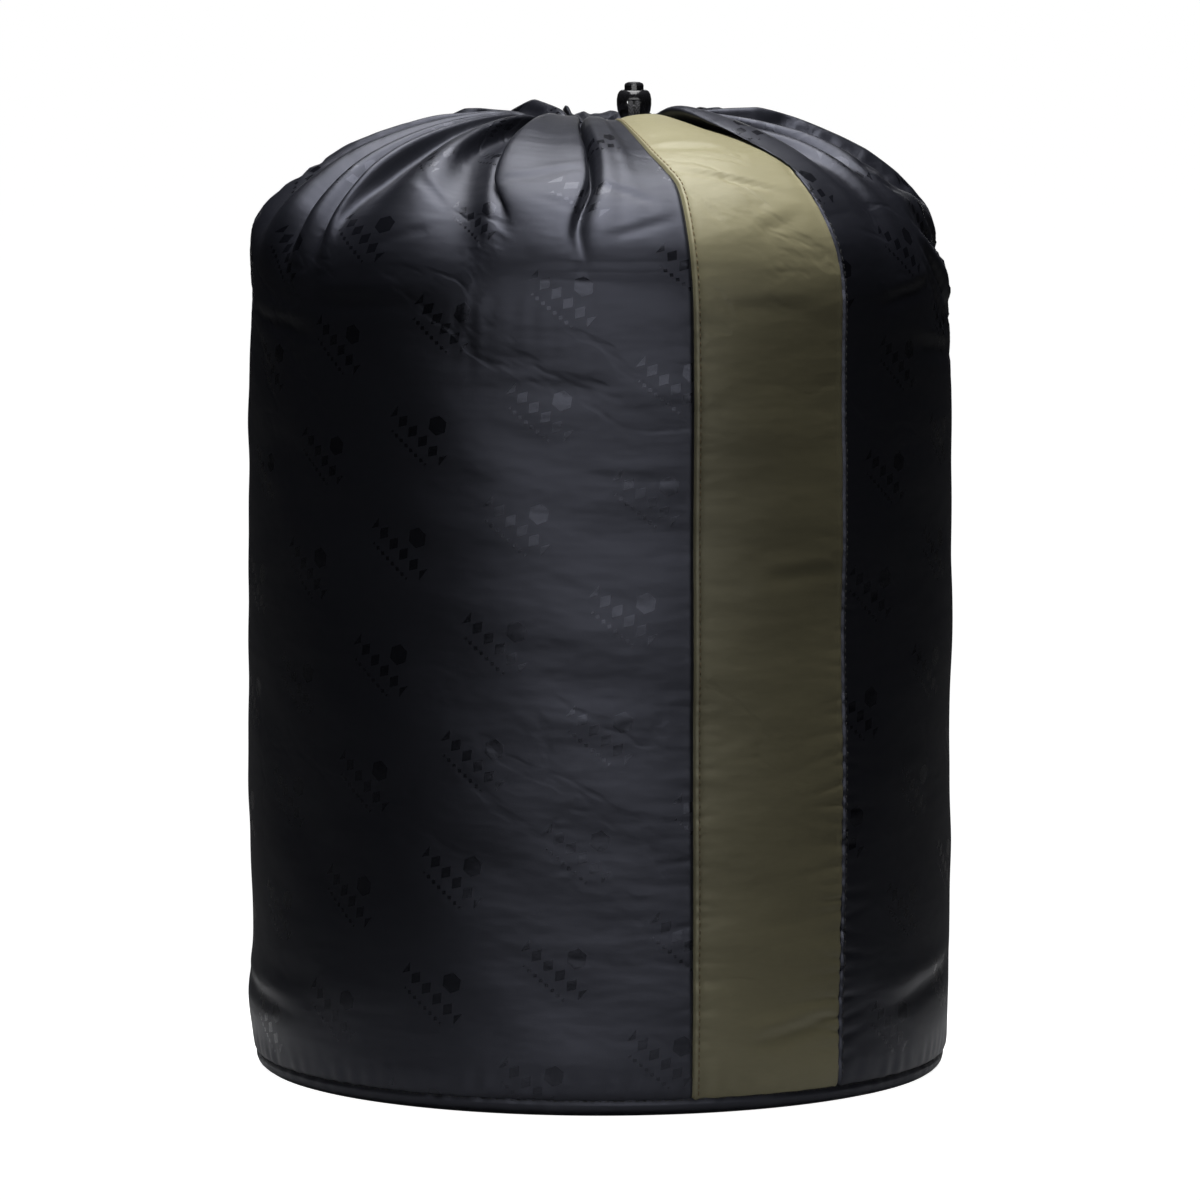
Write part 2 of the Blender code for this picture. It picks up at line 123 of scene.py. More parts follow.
class Nodes:
    """A material, or the world, and short ways to add nodes to it."""

    def __init__(self, owner):
        owner.use_nodes = True
        self.tree = owner.node_tree

    def add(self, kind, settings=None, **inputs):
        node = self.tree.nodes.new("ShaderNode" + kind)
        for name, value in (settings or {}).items():
            setattr(node, name, value)
        for name, value in inputs.items():
            self.set(node.inputs[name.replace("_", " ")], value)
        return node

    def set(self, socket, value):
        if isinstance(value, bpy.types.NodeSocket):
            self.tree.links.new(value, socket)
        elif socket.type == "RGBA" and len(value) == 3:
            socket.default_value = (*value, 1.0)
        else:
            socket.default_value = value

    def math(self, operation, *values):
        node = self.tree.nodes.new("ShaderNodeMath")
        node.operation = operation
        for socket, value in zip(node.inputs, values):
            self.set(socket, value)
        return node.outputs[0]

    def times(self, first, second):
        return self.math("MULTIPLY", first, second)

    def times_add(self, first, second, more):
        """first times second, plus more."""
        return self.math("MULTIPLY_ADD", first, second, more)

    def wave(self, value, pace):
        return self.math("SINE", self.times(value, pace))

    def smooth_step(self, value, low, high):
        """From 0 where value is low to 1 where it is high, level at both ends."""
        node = self.add("MapRange", {"interpolation_type": "SMOOTHSTEP"}, Value=value)
        node.inputs["From Min"].default_value = low
        node.inputs["From Max"].default_value = high
        return node.outputs[0]

    def mix(self, factor, first, second):
        """A blend of two colours."""
        node = self.tree.nodes.new("ShaderNodeMix")
        node.data_type = "RGBA"
        self.set(node.inputs[0], factor)
        self.set(node.inputs[6], first)
        self.set(node.inputs[7], second)
        return node.outputs[2]

    def between(self, factor, low, high):
        """A number that goes from low to high as factor goes from 0 to 1."""
        return self.times_add(factor, high - low, low)

    def cloth_uv(self, turn=0.0):
        """The two cloth coordinates in metres, turned by some degrees."""
        uv = self.add("UVMap", {"uv_map": "cloth"}).outputs["UV"]
        if turn:
            turned = self.add("VectorRotate", {"rotation_type": "Z_AXIS"}, Vector=uv)
            turned.inputs["Angle"].default_value = math.radians(turn)
            uv = turned.outputs[0]
        split = self.add("SeparateXYZ", Vector=uv)
        return split.outputs[0], split.outputs[1]

    def noise(self, scale, across=1.0, up=1.0, detail=3.0, turn=0.0):
        """Smooth noise on the cloth, stretched by the shares across and up."""
        x, y = self.cloth_uv(turn)
        place = self.add("CombineXYZ", X=self.times(x, across), Y=self.times(y, up))
        node = self.add("TexNoise", Vector=place.outputs[0], Scale=scale, Detail=detail)
        return node.outputs[0]

    def bump(self, height, distance, normal=None):
        node = self.add("Bump", Height=height, Distance=distance)
        if normal:
            self.set(node.inputs["Normal"], normal)
        return node.outputs[0]

    def surface(self, **inputs):
        shader = self.tree.nodes["Principled BSDF"]
        for name, value in inputs.items():
            self.set(shader.inputs[name.replace("_", " ")], value)


def new_material(name):
    made = bpy.data.materials.new(name)
    return made, Nodes(made)


# Numbers, lines and grids of points


def ramp(values, start, length):
    """From 0 where a value is at start to 1 a length past it."""
    return np.clip((values - start) / length, 0, 1)


def smooth_ramp(values, start, length):
    share = ramp(values, start, length)
    return share * share * (3 - 2 * share)


def bell(distance, width):
    """1 at no distance, and next to nothing past two widths."""
    return np.exp(-((distance / width) ** 2))


def degrees_past(azimuths, azimuth):
    """How far each azimuth is past one of them, from -180 to 180."""
    return (azimuths - azimuth + 180) % 360 - 180


def unit(vectors):
    return vectors / np.linalg.norm(vectors, axis=-1, keepdims=True)


def walked_along(line):
    """The distance walked to each point of a line."""
    return np.concatenate([[0], np.cumsum(np.linalg.norm(np.diff(line, axis=0), axis=1))])


def read_along(values, walked, wanted):
    """The values at some distances along a line, read between its points."""
    return np.stack([np.interp(wanted, walked, column) for column in values.T], axis=1)


def evenly(chain, count):
    """The chain again, as count evenly spaced points."""
    line = np.array([tuple(point) for point in chain])
    walked = walked_along(line)
    return [Vector(point) for point in read_along(line, walked, np.linspace(0, walked[-1], count))]


CURVE_STEPS = 40  # short straight steps between two points of a smooth curve


def catmull_rom(points, count):
    """count points, evenly spaced along a smooth curve through the given ones."""
    chain = [2 * points[0] - points[1], *points, 2 * points[-1] - points[-2]]
    fine = []
    for before, start, end, after in zip(chain, chain[1:], chain[2:], chain[3:]):
        for t in np.arange(CURVE_STEPS) / CURVE_STEPS:
            bend = (2 * before - 5 * start + 4 * end - after) * t**2
            twist = (3 * start - before - 3 * end + after) * t**3
            fine.append(0.5 * (2 * start + (end - before) * t + bend + twist))
    fine.append(points[-1])
    return evenly(fine, count)


def ring_grid(azimuths, radii, heights):
    """Points about the sack's axis."""
    angle, radii, heights = np.broadcast_arrays(np.radians(azimuths), radii, heights)
    return np.stack([radii * np.sin(angle), -radii * np.cos(angle), heights], axis=-1)


def cloth_uv_grid(across, up):
    """Cloth coordinates in metres, from each column's and each row's."""
    return np.stack(np.broadcast_arrays(across, up[:, None]), axis=-1)


# Meshes


def new_object(data):
    made = bpy.data.objects.new(data.name, data)
    bpy.context.scene.collection.objects.link(made)
    return made


def new_piece(data, body, *materials):
    """An object named as its mesh, which rides on a body."""
    for material in materials:
        data.materials.append(material)
    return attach(new_object(data), body)


def grid_data(name, points, uv=None, closed=False):
    """A smooth mesh over a grid of points. On a closed grid, uv has one column more."""
    rows, columns = points.shape[:2]
    index = np.arange(rows * columns).reshape(rows, columns)
    if closed:
        index = np.concatenate([index, index[:, :1]], axis=1)

    def corners(grid):
        around = [grid[:-1, :-1], grid[:-1, 1:], grid[1:, 1:], grid[1:, :-1]]
        return np.stack(around, axis=2)

    made = bpy.data.meshes.new(name)
    faces = corners(index).reshape(-1, 4)
    made.from_pydata(points.reshape(-1, 3).tolist(), [], faces.tolist())
    if uv is not None:
        layer = made.uv_layers.new(name="cloth")
        layer.data.foreach_set("uv", corners(uv).astype(np.float32).ravel())
    made.shade_smooth()
    return made


def capped_grid_data(name, points, uv):
    """A closed grid's mesh with its first and last rows filled in."""
    made = grid_data(name, points, uv, closed=True)
    build = bmesh.new()
    build.from_mesh(made)
    bmesh.ops.holes_fill(build, edges=build.edges[:], sides=points.shape[1])
    build.to_mesh(made)
    build.free()
    made.shade_smooth()
    return made


# Tubes: cords, threads and wire

ASKEW = (0.31, 0.17, 0.93)  # a direction that no tube starts along


def tube(name, path, radius, body, material, sides=14, ends=3):
    """A round cord along a path, its ends closed with rounded caps."""
    swell = np.ones(len(path))
    cap = [math.sin(math.pi / 2 * (i + 0.3) / ends) for i in range(ends)]
    swell[:ends], swell[-ends:] = cap, cap[::-1]
    line = np.array([tuple(point) for point in path])
    along = unit(np.gradient(line, axis=0))
    side = np.cross(along[0], ASKEW)
    turns = np.linspace(0, 2 * math.pi, sides, endpoint=False)[:, None]
    rings = []
    for centre, direction, share in zip(line, along, swell):
        side = unit(side - direction * side.dot(direction))
        ring = np.cos(turns) * side + np.sin(turns) * np.cross(direction, side)
        rings.append(centre + radius * share * ring)
    around = np.linspace(0, 2 * math.pi * radius, sides + 1)
    uv = cloth_uv_grid(around, walked_along(line))
    return new_piece(capped_grid_data(name, np.array(rings), uv), body, material)


# The drawcord


def cord_material():
    """Braided polyester: a herringbone of fine yarns, with stray lighter ones."""
    made, n = new_material("braided_cord_fine")
    around, along = n.cloth_uv()
    yarns = []
    for lean in (1, -1):
        slope = n.times_add(around, 5100.0 * lean, n.times(along, 3300.0))
        yarns.append(n.math("SINE", slope))
    braid = n.math("MAXIMUM", *yarns)
    fleck = n.noise(900.0, 1.0, 0.4)
    dark, light = (0.005, 0.005, 0.006), (0.030, 0.030, 0.034)
    # The braid's crowns are painted lighter and the grooves between its yarns darker, which is
    # painted shade; the fleck adds random lighter yarns of the cord's own colour.
    shade = n.times(n.times_add(braid, 0.5, 0.5), fleck)
    n.surface(Base_Color=n.mix(shade, dark, light), Roughness=n.between(fleck, 0.45, 0.75))
    n.surface(Normal=n.bump(braid, 0.00022), Specular_IOR_Level=0.3)
    return made


# Its tails: straight through the lock, over the dome and down the back


def lying_on_back(radius, sway):
    """A place on the back of the dome, sway to one side of the lock."""
    (r0, z0), (r1, z1) = [(r, dome_height(r)) for r in (radius - 0.001, radius + 0.001)]
    out = Vector((z0 - z1, r1 - r0)).normalized() * (CORD_RADIUS + 2 * CLEAR)
    return Vector((LOCK.x + sway, radius + out.x, dome_height(radius) + out.y))


def hanging_on_back(height, sway):
    """A place on the back of the wall."""
    away = barrel_radius(height) + CORD_RADIUS + 2 * CLEAR
    return Vector((LOCK.x + sway, away, height))


# Where each stretch of the tails passes: radius on the dome or height on the wall, and sway
DOME_STOPS = ((0.062, 0.001), (0.085, 0.003), (0.110, 0.004), (0.130, 0.004), (0.142, 0.003))
WALL_STOPS = (
    (0.330, 0.001), (0.300, -0.002), (0.250, -0.005), (0.200, -0.003), (0.150, 0.003),
    (0.105, 0.007), (0.070, 0.006),
)


def tail_route():
    """The middle line of the two strands, as in the CAD source."""
    straight = [Vector((LOCK.x, y, CORD_LEVEL)) for y in (LOCK.y, 0.018, 0.032)]
    dome = [lying_on_back(*stop) for stop in DOME_STOPS]
    wall = [hanging_on_back(*stop) for stop in WALL_STOPS]
    return straight + dome + wall


def tail_path(side):
    """One strand's centreline, from the buttonhole through the lock to the knot."""
    tangent, across = azimuth_vector(EXIT_AZIMUTH + 90), Vector((1, 0, 0))
    foot = EXIT + tangent * side * STRAND_OFFSET
    rise_end = CORD_LEVEL - LOCK_BEND
    points = [foot + Vector((0, 0, HEM_RADIUS + CLEAR)), Vector((foot.x, foot.y, rise_end))]
    for turn in (15, 30, 45, 60, 75, 90):
        angle = math.radians(turn)
        swing = Vector((0, 1 - math.cos(angle), math.sin(angle))) * LOCK_BEND
        middle = Vector((EXIT.x, EXIT.y, rise_end)) + swing
        beside = tangent.lerp(across, turn / 90).normalized()
        points.append(middle + beside * side * STRAND_OFFSET)
    shift = across * side * STRAND_OFFSET
    return points + [point + shift for point in catmull_rom(tail_route(), TAIL_POINTS)]


KNOT_SCALE = Vector((0.00125, 0.0014, 0.00155))
KNOT_CORD_RADIUS = 0.00135  # the cord spreads a little where it is pulled tight
CUT_ENDS = (("drawcord_cut_end_right", 1, 0.0125), ("drawcord_cut_end_left", -1, 0.0105))


def knot_path(centre):
    """A closed overhand loop, a trefoil, squeezed to the knot's size."""
    points = []
    for t in np.linspace(0, 2 * math.pi, 121):
        x = math.sin(t) + 2 * math.sin(2 * t)
        z = math.cos(t) - 2 * math.cos(2 * t)
        points.append(centre + Vector((x, -math.sin(3 * t), z)) * KNOT_SCALE)
    return points


def end_knot(last):
    """The knot at the tails' end, and the two cut ends below it."""
    deep, tall = [KNOT_RADIUS * share for share in KNOT_SHAPE[1:]]
    centre = last + Vector((0, deep - CORD_RADIUS, -tall - CLEAR))
    knot = tube("drawcord_knot_loop", knot_path(centre), KNOT_CORD_RADIUS, "sack", CORD, ends=1)
    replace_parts(knot, "drawcord_end_knot")
    below = []
    for name, side, reach in CUT_ENDS:
        bend = [(0.0006, 0.0, -0.002), (0.0016, 0.0002, -0.006), (0.0024, 0.0006, -reach)]
        path = [centre + Vector((side * x, y, z)) for x, y, z in bend]
        end = tube(name, catmull_rom(path, 24), CORD_RADIUS, "sack", CORD)
        below.append(end)
    return [knot, *below]


def tails():
    """The two strands. The knot and the cut ends are made before them."""
    ends = end_knot(tail_route()[-1])
    for side, name in ((1, "drawcord_tail_right"), (-1, "drawcord_tail_left")):
        path = tail_path(side)
        strand = tube(name + "_braid", evenly(path, 620), CORD_RADIUS, "sack", CORD)
        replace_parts(strand, name)
        ends = []


CORD = cord_material()
tails()

# The cloth of the gathered top. Guides are lines up the cloth: crowns and valleys of its folds.

COLUMNS, SIM_ROWS = 240, 64
SIM_BASE = 0.245  # height where the simulated part starts
FLAT_TOP = 0.2660  # length of cloth from there to the hem
MOUTH_SHARE, NARROW_FROM = 0.5, 0.7  # how narrow the rest shape ends, and from what share up it
FRAMES = 36
FRONT_HOLD = 0.6  # how firmly the front's folds are held while the rest settles
HELD_AZIMUTHS, HELD_FADE = (-92, 78), 14  # the held front, and the degrees it fades over
HELD_ROWS = (16, 12)  # the first row that may be held, and over how many the hold grows
CORE_HEIGHTS, CORE_INSET = (SIM_BASE, 0.30, 0.36, 0.41), (0.0015, 0.003, 0.012, 0.018)
CALM_HEIGHTS = (0.262, 0.045)  # from where the settled folds count, and over what height
JOINED_ROWS = (2, 12)  # the first row that may leave the wall, and over how many it fades in
CROWN_COLUMNS, CROWN_PERCENTILE = 14, 15  # a crown: the least sunk cloth within so many columns
MOST_PROUD = 0.004  # how far a crown may stand out of the outline
CORD_SIDE, CORD_SPREAD = 9, 16  # where the tails lie behind, and no crown stands proud
GUIDE_RADII = (0.0249, 0.045, 0.070, 0.095, 0.120, 0.140, 0.1497)
# Azimuth on the wall, then at each radius the shift from it in degrees and the depth in mm
GUIDES = (
    (-88, (0, 0, 0, 0, 0, 0, 0), (0.5, 0, -0.5, -0.5, -0.5, -1, 0)),
    (-77, (-6, -6, -5, -3, -0.5, 0, 0), (2.5, 5, 8, 11, 8, 5, 0)),
    (-70, (-8, -7, -6, -4, -1, 1.5, 0), (0.5, 0.5, 0.5, 0, -1, -2, 0)),
    (-64, (-7, -6, -5, -3, 0, 1.5, 0), (2.5, 6, 5, 4, 6.5, 7.5, 0)),
    (-59.5, (-7, -6, -5, -3, -1, 0.5, 0), (0.5, 0.5, 0, -0.5, -1.5, -2, 0)),
    (-55.5, (-7, -6, -5, -3.5, -1, 0, 0), (2, 4, 3, 3, 5.5, 5, 0)),
    (-52, (-7, -6, -4.5, -3, -1.5, -1, 0), (0.5, 0.5, 0, -1, -2, -1, 0)),
    (-48, (-8, -7, -6, -4.5, -3, -3, 0), (2, 3, 4, 7, 7, 2, 0)),
    (-41, (-9, -6, -3, -1, -0.5, 0, 0), (0.5, 0.5, 0, -0.5, -0.5, -0.5, 0)),
    (-23, (-20, -17, -13, -9, -3.5, 1, 1), (2.5, 9, 8, 6, 4.5, 2.5, 0)),
    (-19, (-19, -15, -10, -7, -3.5, 0, 0), (2.5, 9, 6, 3.5, 2, 0, 0)),
    (-16, (-16, -12, -6, -5, -4.5, 0, 0), (2.5, 11, 9, 8, 3.5, 0, 0)),
    (-13, (-22, -17, -12.5, -11.2, -9, -0.5, 0), (1, 1, -2, -2, -0.5, 0, 0)),
    (-8, (-18, -12, -7, -5, -3.5, -0.5, 0), (0.5, 0, -1.5, -1.5, -1, -0.5, 0)),
    (-4.5, (-16, -7.5, -4, -0.7, 0.3, -1.5, 0), (0.5, 0.5, -1.5, -1.5, -1, 0, 0)),
    (-3, (-17, -7.5, -4.2, -0.4, 0.8, -2.5, 0), (1, 2, 0, 0, 0, 0.8, 0)),
    (-1.5, (-17, -8.5, -5.3, -1.7, -0.3, -2.7, 0), (2.5, 9, 10, 9, 6, 2.5, 0)),
    (0, (-17, -8.5, -5.2, -1.6, -0.6, -2.5, 0), (1.5, 3.5, 3, 2.5, 1.5, 0.5, 0)),
    (5, (-13, -6, -3, -1, -0.2, -1, 0), (0.5, 0, -0.5, -0.5, 0, 0, 0)),
    (10, (-13, -6, -4, -2, -0.8, -0.2, 0), (1.5, 1.2, 1, 0.8, 0.5, 0, 0)),
    (15, (-9, -5, -3.8, -2.6, 0.5, 0, 0), (1.5, 1.5, 1.2, 1, 0.6, 0.2, 0)),
    (20, (-6, -4, -3, -1.5, 0.5, 0, 0), (0.5, 0, -0.5, -0.5, 0, 0, 0)),
    (28, (-2, 0, 0, 0.3, 0.3, 0, 0), (0, -1, -1.5, -1.5, -0.5, 0, 0)),
    (36, (0, 1.5, 2, 2.5, 0, 0, 0), (0.5, 0, -0.5, -1, 0, 0, 0)),
    (40, (2, 4, 5, 6.5, 0.8, 0, 0), (1.5, 2, 1.5, 0, 0, 0, 0)),
    (42.5, (3.5, 6.5, 8, 5, 0.9, 0, 0), (2, 4, 3, 1, 0.6, 0.2, 0)),
    (44.5, (-0.5, 1.5, 0.5, -0.5, -0.5, 0, 0), (1.5, 0.5, -0.5, -1, 0, 0, 0)),
    (46.5, (-3, -2.5, -5.5, -5, -1, 0, 0), (0, -3, -3.5, -1.5, 0, 0, 0)),
    (49, (-1.5, -0.5, -1, -1.5, -0.5, 0, 0), (-1, -4.5, -5.5, -2.5, 0, 0, 0)),
    (52, (-1, -0.5, 1, 0.5, 0, 0, 0), (0, -3, -4, -2, 0, 0, 0)),
    (56, (0, 0, 1, 1, 1, 0.5, 0), (2.5, 6, 5, 4, 2.5, 2.5, 0)),
    (61, (0, 0, 1, 1, 0.5, 0, 0), (0.5, 0.5, 0, -0.5, 0, 0, 0)),
    (66, (0, 1, 2, 2, 1, 0.5, 0), (2.5, 7, 7, 6, 4, 1.5, 0)),
    (72, (0, 0, 0, 0, 0, 0, 0), (0.5, 0, -0.5, -0.5, 0, 0, 0)),
)
# The valleys behind: azimuth, depth as a share, and how far they lean near the mouth
BACK_VALLEYS = (
    (78, 0.8, 3), (92, 1.1, -3), (105, 0.7, 4), (119, 1.0, -4), (136, 0.8, 3), (151, 1.0, -3),
    (184, 0.9, 3), (199, 0.7, -3), (214, 1.1, 4), (231, 0.8, -3), (246, 1.0, 3), (261, 0.7, -2),
)
VALLEY_DEPTHS = (2.5, 8, 9, 8, 5.5, 2, 0)  # in mm, at each of GUIDE_RADII
CROWN_DEPTHS = (0.5, 0, -0.3, -0.3, 0, 0, 0)
WRAP_AZIMUTH = 274  # cloth past this azimuth is counted back from the front, as in GUIDES


def back_guides():
    """A valley's guide and the crown's after it, for each of BACK_VALLEYS."""
    made = []
    after = [*[valley[0] for valley in BACK_VALLEYS[1:]], WRAP_AZIMUTH]
    for (azimuth, share, lean), following in zip(BACK_VALLEYS, after):
        fade = [lean * (1 - radius / GUIDE_RADII[-1]) for radius in GUIDE_RADII]
        made.append((azimuth, fade, [share * depth for depth in VALLEY_DEPTHS]))
        crown = (azimuth + following) / 2
        made.append((crown, [0] * len(GUIDE_RADII), CROWN_DEPTHS))
    return made


def meridian(count):
    """Points (radius, height) evenly spaced along the outline from SIM_BASE to the hem."""
    wall = [(barrel_radius(h), h) for h in np.linspace(SIM_BASE, SHOULDER_HEIGHT, 60)]
    turn = np.sin(np.linspace(1, 0, 200) * math.pi / 2)
    widest = barrel_radius(SHOULDER_HEIGHT)
    radii = PANEL_TOP_RADIUS + (widest - PANEL_TOP_RADIUS) * turn
    dome = [(r, dome_height(r)) for r in radii[1:]]
    line = np.array(wall + dome)
    walked = walked_along(line)
    return read_along(line, walked, np.linspace(0, walked[-1], count))


def inward_normals(line):
    along = unit(np.gradient(line, axis=0))
    return np.stack([-along[:, 1], along[:, 0]], axis=1)


def resample(grid, places, axis, around=False):
    """The grid read at fractional places along one axis, with a cubic through its points."""
    grid = np.moveaxis(grid, axis, 0)
    base = np.floor(places).astype(int)
    t = (places - base).reshape(-1, *[1] * (grid.ndim - 1))
    weights = (
        (-t + 2 * t**2 - t**3) / 2,
        (2 - 5 * t**2 + 3 * t**3) / 2,
        (t + 4 * t**2 - 3 * t**3) / 2,
        (t**3 - t**2) / 2,
    )
    total = 0.0
    for step, weight in zip((-1, 0, 1, 2), weights):
        index = base + step
        index = index % len(grid) if around else np.clip(index, 0, len(grid) - 1)
        total = total + weight * grid[index]
    return np.moveaxis(total, 0, axis)


def smooth_through(x, y, wanted):
    """Cubic interpolation through uneven knots x, with y of shape (knots, ...)."""
    slope = np.gradient(y, x, axis=0)
    index = np.clip(np.searchsorted(x, wanted, side="right") - 1, 0, len(x) - 2)
    step = (x[index + 1] - x[index])[:, None]
    t = (wanted - x[index])[:, None] / step
    start, end = y[index], y[index + 1]
    rise, fall = slope[index] * step, slope[index + 1] * step
    return (
        start * (1 - 3 * t**2 + 2 * t**3)
        + end * (3 * t**2 - 2 * t**3)
        + rise * (t - 2 * t**2 + t**3)
        + fall * (t**3 - t**2)
    )


def even_columns():
    """The simulated cloth's columns, as azimuths from 0."""
    return np.arange(COLUMNS) * 360.0 / COLUMNS


def folded_start():
    """The pleated top that the simulation starts from: the outline, folded along the guides."""
    line = meridian(SIM_ROWS)
    guides = [*GUIDES, *back_guides()]
    azimuths = np.array([guide[0] for guide in guides], float)
    rows = [[np.interp(line[:, 0], GUIDE_RADII, keys) for keys in guide[1:]] for guide in guides]
    rows = np.array(rows)
    rows[:, :, line[:, 1] < SHOULDER_HEIGHT] = 0.0
    rows = np.concatenate([rows[-3:], rows, rows[:3]])
    knots = np.concatenate([azimuths[-3:] - 360, azimuths, azimuths[:3] + 360])
    columns = even_columns()
    columns = np.where(columns > WRAP_AZIMUTH - 0.1, columns - 360, columns)
    found = smooth_through(knots, rows.reshape(len(knots), -1), columns)
    shift, depth = np.moveaxis(found.reshape(COLUMNS, 2, SIM_ROWS), 1, 0)
    for values in (shift, depth):
        for _ in range(3):
            values[:, 1:-1] = (values[:, :-2] + 2 * values[:, 1:-1] + values[:, 2:]) / 4
    inward = inward_normals(line)
    sunk = line[:, None, :] + inward[:, None, :] * depth.T[:, :, None] * 0.001
    return ring_grid((columns[:, None] + shift).T, sunk[:, :, 0], sunk[:, :, 1])


def flat_tube():
    """The cloth at rest: a tube, narrower near the mouth, where the gathers bunch."""
    along = np.linspace(0, 1, SIM_ROWS)[:, None]
    narrow = ramp(along, NARROW_FROM, 1 - NARROW_FROM) ** 1.5
    radius = barrel_radius(0.29) * (1 - (1 - MOUTH_SHARE) * narrow)
    return ring_grid(even_columns(), radius, SIM_BASE + FLAT_TOP * along)


def collision_core():
    """The soft filling that the cloth rests on, a little inside the outline."""
    line = meridian(40)
    inset = np.interp(line[:, 1], CORE_HEIGHTS, CORE_INSET)
    inner = (line + inward_normals(line) * inset[:, None])[:-1]
    low = np.array([[inner[0, 0], SIM_BASE - 0.03]])
    inner = np.concatenate([low, inner, [[0.001, inner[-1, 1] - 0.004]]])
    points = ring_grid(np.arange(96) * 360 / 96, inner[:, :1], inner[:, 1:])
    core = new_object(grid_data("core", points, closed=True))
    core.modifiers.new("collision", "COLLISION")
    core.collision.thickness_outer = 0.001
    core.collision.cloth_friction = 8
    return core


def held_shares():
    """How firmly each point of the cloth is held to its start, in steps of 0.05."""
    columns = degrees_past(even_columns(), 0)
    left, right = HELD_AZIMUTHS
    front = ramp(columns, left, HELD_FADE) * ramp(-columns, -right, HELD_FADE)
    rows = ramp(np.arange(SIM_ROWS), *HELD_ROWS)
    held = FRONT_HOLD * rows[:, None] * front
    held[:2], held[-1] = 1.0, 1.0
    return np.round(held * 20).astype(int).ravel()


CLOTH_SETTINGS = {
    "quality": 6,
    "mass": 0.15,
    "tension_stiffness": 25,
    "compression_stiffness": 15,
    "shear_stiffness": 8,
    "bending_stiffness": 0.08,
    "tension_damping": 8,
    "compression_damping": 8,
    "shear_damping": 8,
    "bending_damping": 0.5,
    "air_damping": 2,
    "vertex_group_mass": "pins",
    "pin_stiffness": 1.0,
    "use_pressure": True,
    "uniform_pressure_force": 8.0,
}


def cloth_to_settle(start):
    """The cloth that is simulated. It is cut flat, starts folded, and is held by soft pins."""
    cloth = new_object(grid_data("cloth", flat_tube(), closed=True))
    cloth.shape_key_add(name="flat")
    key = cloth.shape_key_add(name="start")
    key.data.foreach_set("co", start.astype(np.float32).ravel())
    key.value = 1.0
    pins = cloth.vertex_groups.new(name="pins")
    held = held_shares()
    for level in range(1, 21):
        pins.add(np.flatnonzero(held == level).tolist(), level / 20, "REPLACE")
    modifier = cloth.modifiers.new("cloth", "CLOTH")
    for name, value in CLOTH_SETTINGS.items():
        setattr(modifier.settings, name, value)
    modifier.settings.rest_shape_key = cloth.data.shape_keys.key_blocks["flat"]
    modifier.settings.effector_weights.gravity = 0.3
    modifier.collision_settings.distance_min = 0.0015
    modifier.collision_settings.collision_quality = 3
    modifier.point_cache.frame_end = FRAMES
    return cloth


def settled_cloth(start):
    """The pleated top after the Cloth simulation, as a grid of points."""
    cloth = cloth_to_settle(start)
    core = collision_core()
    scene = bpy.context.scene
    for step in range(1, FRAMES + 1):
        scene.frame_set(step)
    result = cloth.evaluated_get(bpy.context.evaluated_depsgraph_get()).to_mesh()
    points = np.zeros(len(result.vertices) * 3, np.float32)
    result.vertices.foreach_get("co", points)
    scene.frame_set(1)
    bpy.data.objects.remove(core)
    bpy.data.objects.remove(cloth)
    return points.reshape(SIM_ROWS, COLUMNS, 3).astype(float)


def running_mean(values, reach, axis):
    return sum(np.roll(values, step, axis) for step in range(-reach, reach + 1)) / (2 * reach + 1)


def crowns_to_outline(points, start):
    """Moves the cloth in or out, so that the crowns of its folds lie on the sack's outline."""
    line = meridian(400)
    inward = inward_normals(line)
    flat = np.stack([np.hypot(points[..., 0], points[..., 1]), points[..., 2]], axis=-1)
    gap = ((flat[:, :, None, :] - line) ** 2).sum(-1)
    nearest = gap.argmin(-1)
    normal = inward[nearest]
    depth = ((flat - line[nearest]) * normal).sum(-1)
    steps = range(-CROWN_COLUMNS, CROWN_COLUMNS + 1)
    around = np.stack([np.roll(depth, step, 1) for step in steps])
    crown = np.percentile(around, CROWN_PERCENTILE, axis=0)
    crown = running_mean(running_mean(crown, 8, 1), 6, 1)
    for _ in range(6):
        crown[1:-1] = (crown[:-2] + crown[1:-1] + crown[2:]) / 3
    fade = ramp(-np.arange(SIM_ROWS), 2 - SIM_ROWS, 10)[:, None]
    from_back = np.degrees(np.arctan2(points[..., 0], points[..., 1]))
    proud = np.where(np.abs(from_back - CORD_SIDE) < CORD_SPREAD, 0.0, MOST_PROUD)
    move = np.maximum(-crown * fade, -depth - proud)
    calm = 1 - smooth_ramp(line[nearest][..., 1], *CALM_HEIGHTS)
    move = move * (1 - calm) - depth * calm
    flat = flat + normal * move[..., None]
    moved = ring_grid(180 - from_back, flat[..., 0], flat[..., 1])
    share = smooth_ramp(np.arange(SIM_ROWS), *JOINED_ROWS)[:, None, None]
    return start + (moved - start) * share


def gathered_top():
    start = folded_start()
    return crowns_to_outline(settled_cloth(start), start)


# The whole cloth: the wall below, the gathered top, and the small shape of seams and creases

COLUMN_STEP = 0.625  # degrees
SEAM_STEPS = (-1.4, -0.95, -0.6, -0.35, -0.16, 0.0, 0.16, 0.35, 0.6, 0.95, 1.4)
SEAM_CLEAR = 1.6  # no even column comes closer to a seam than this
FOOT_ROWS, WALL_ROWS = 14, 180
DEGREE = math.radians(1) * BODY_RADIUS  # length of cloth in a degree


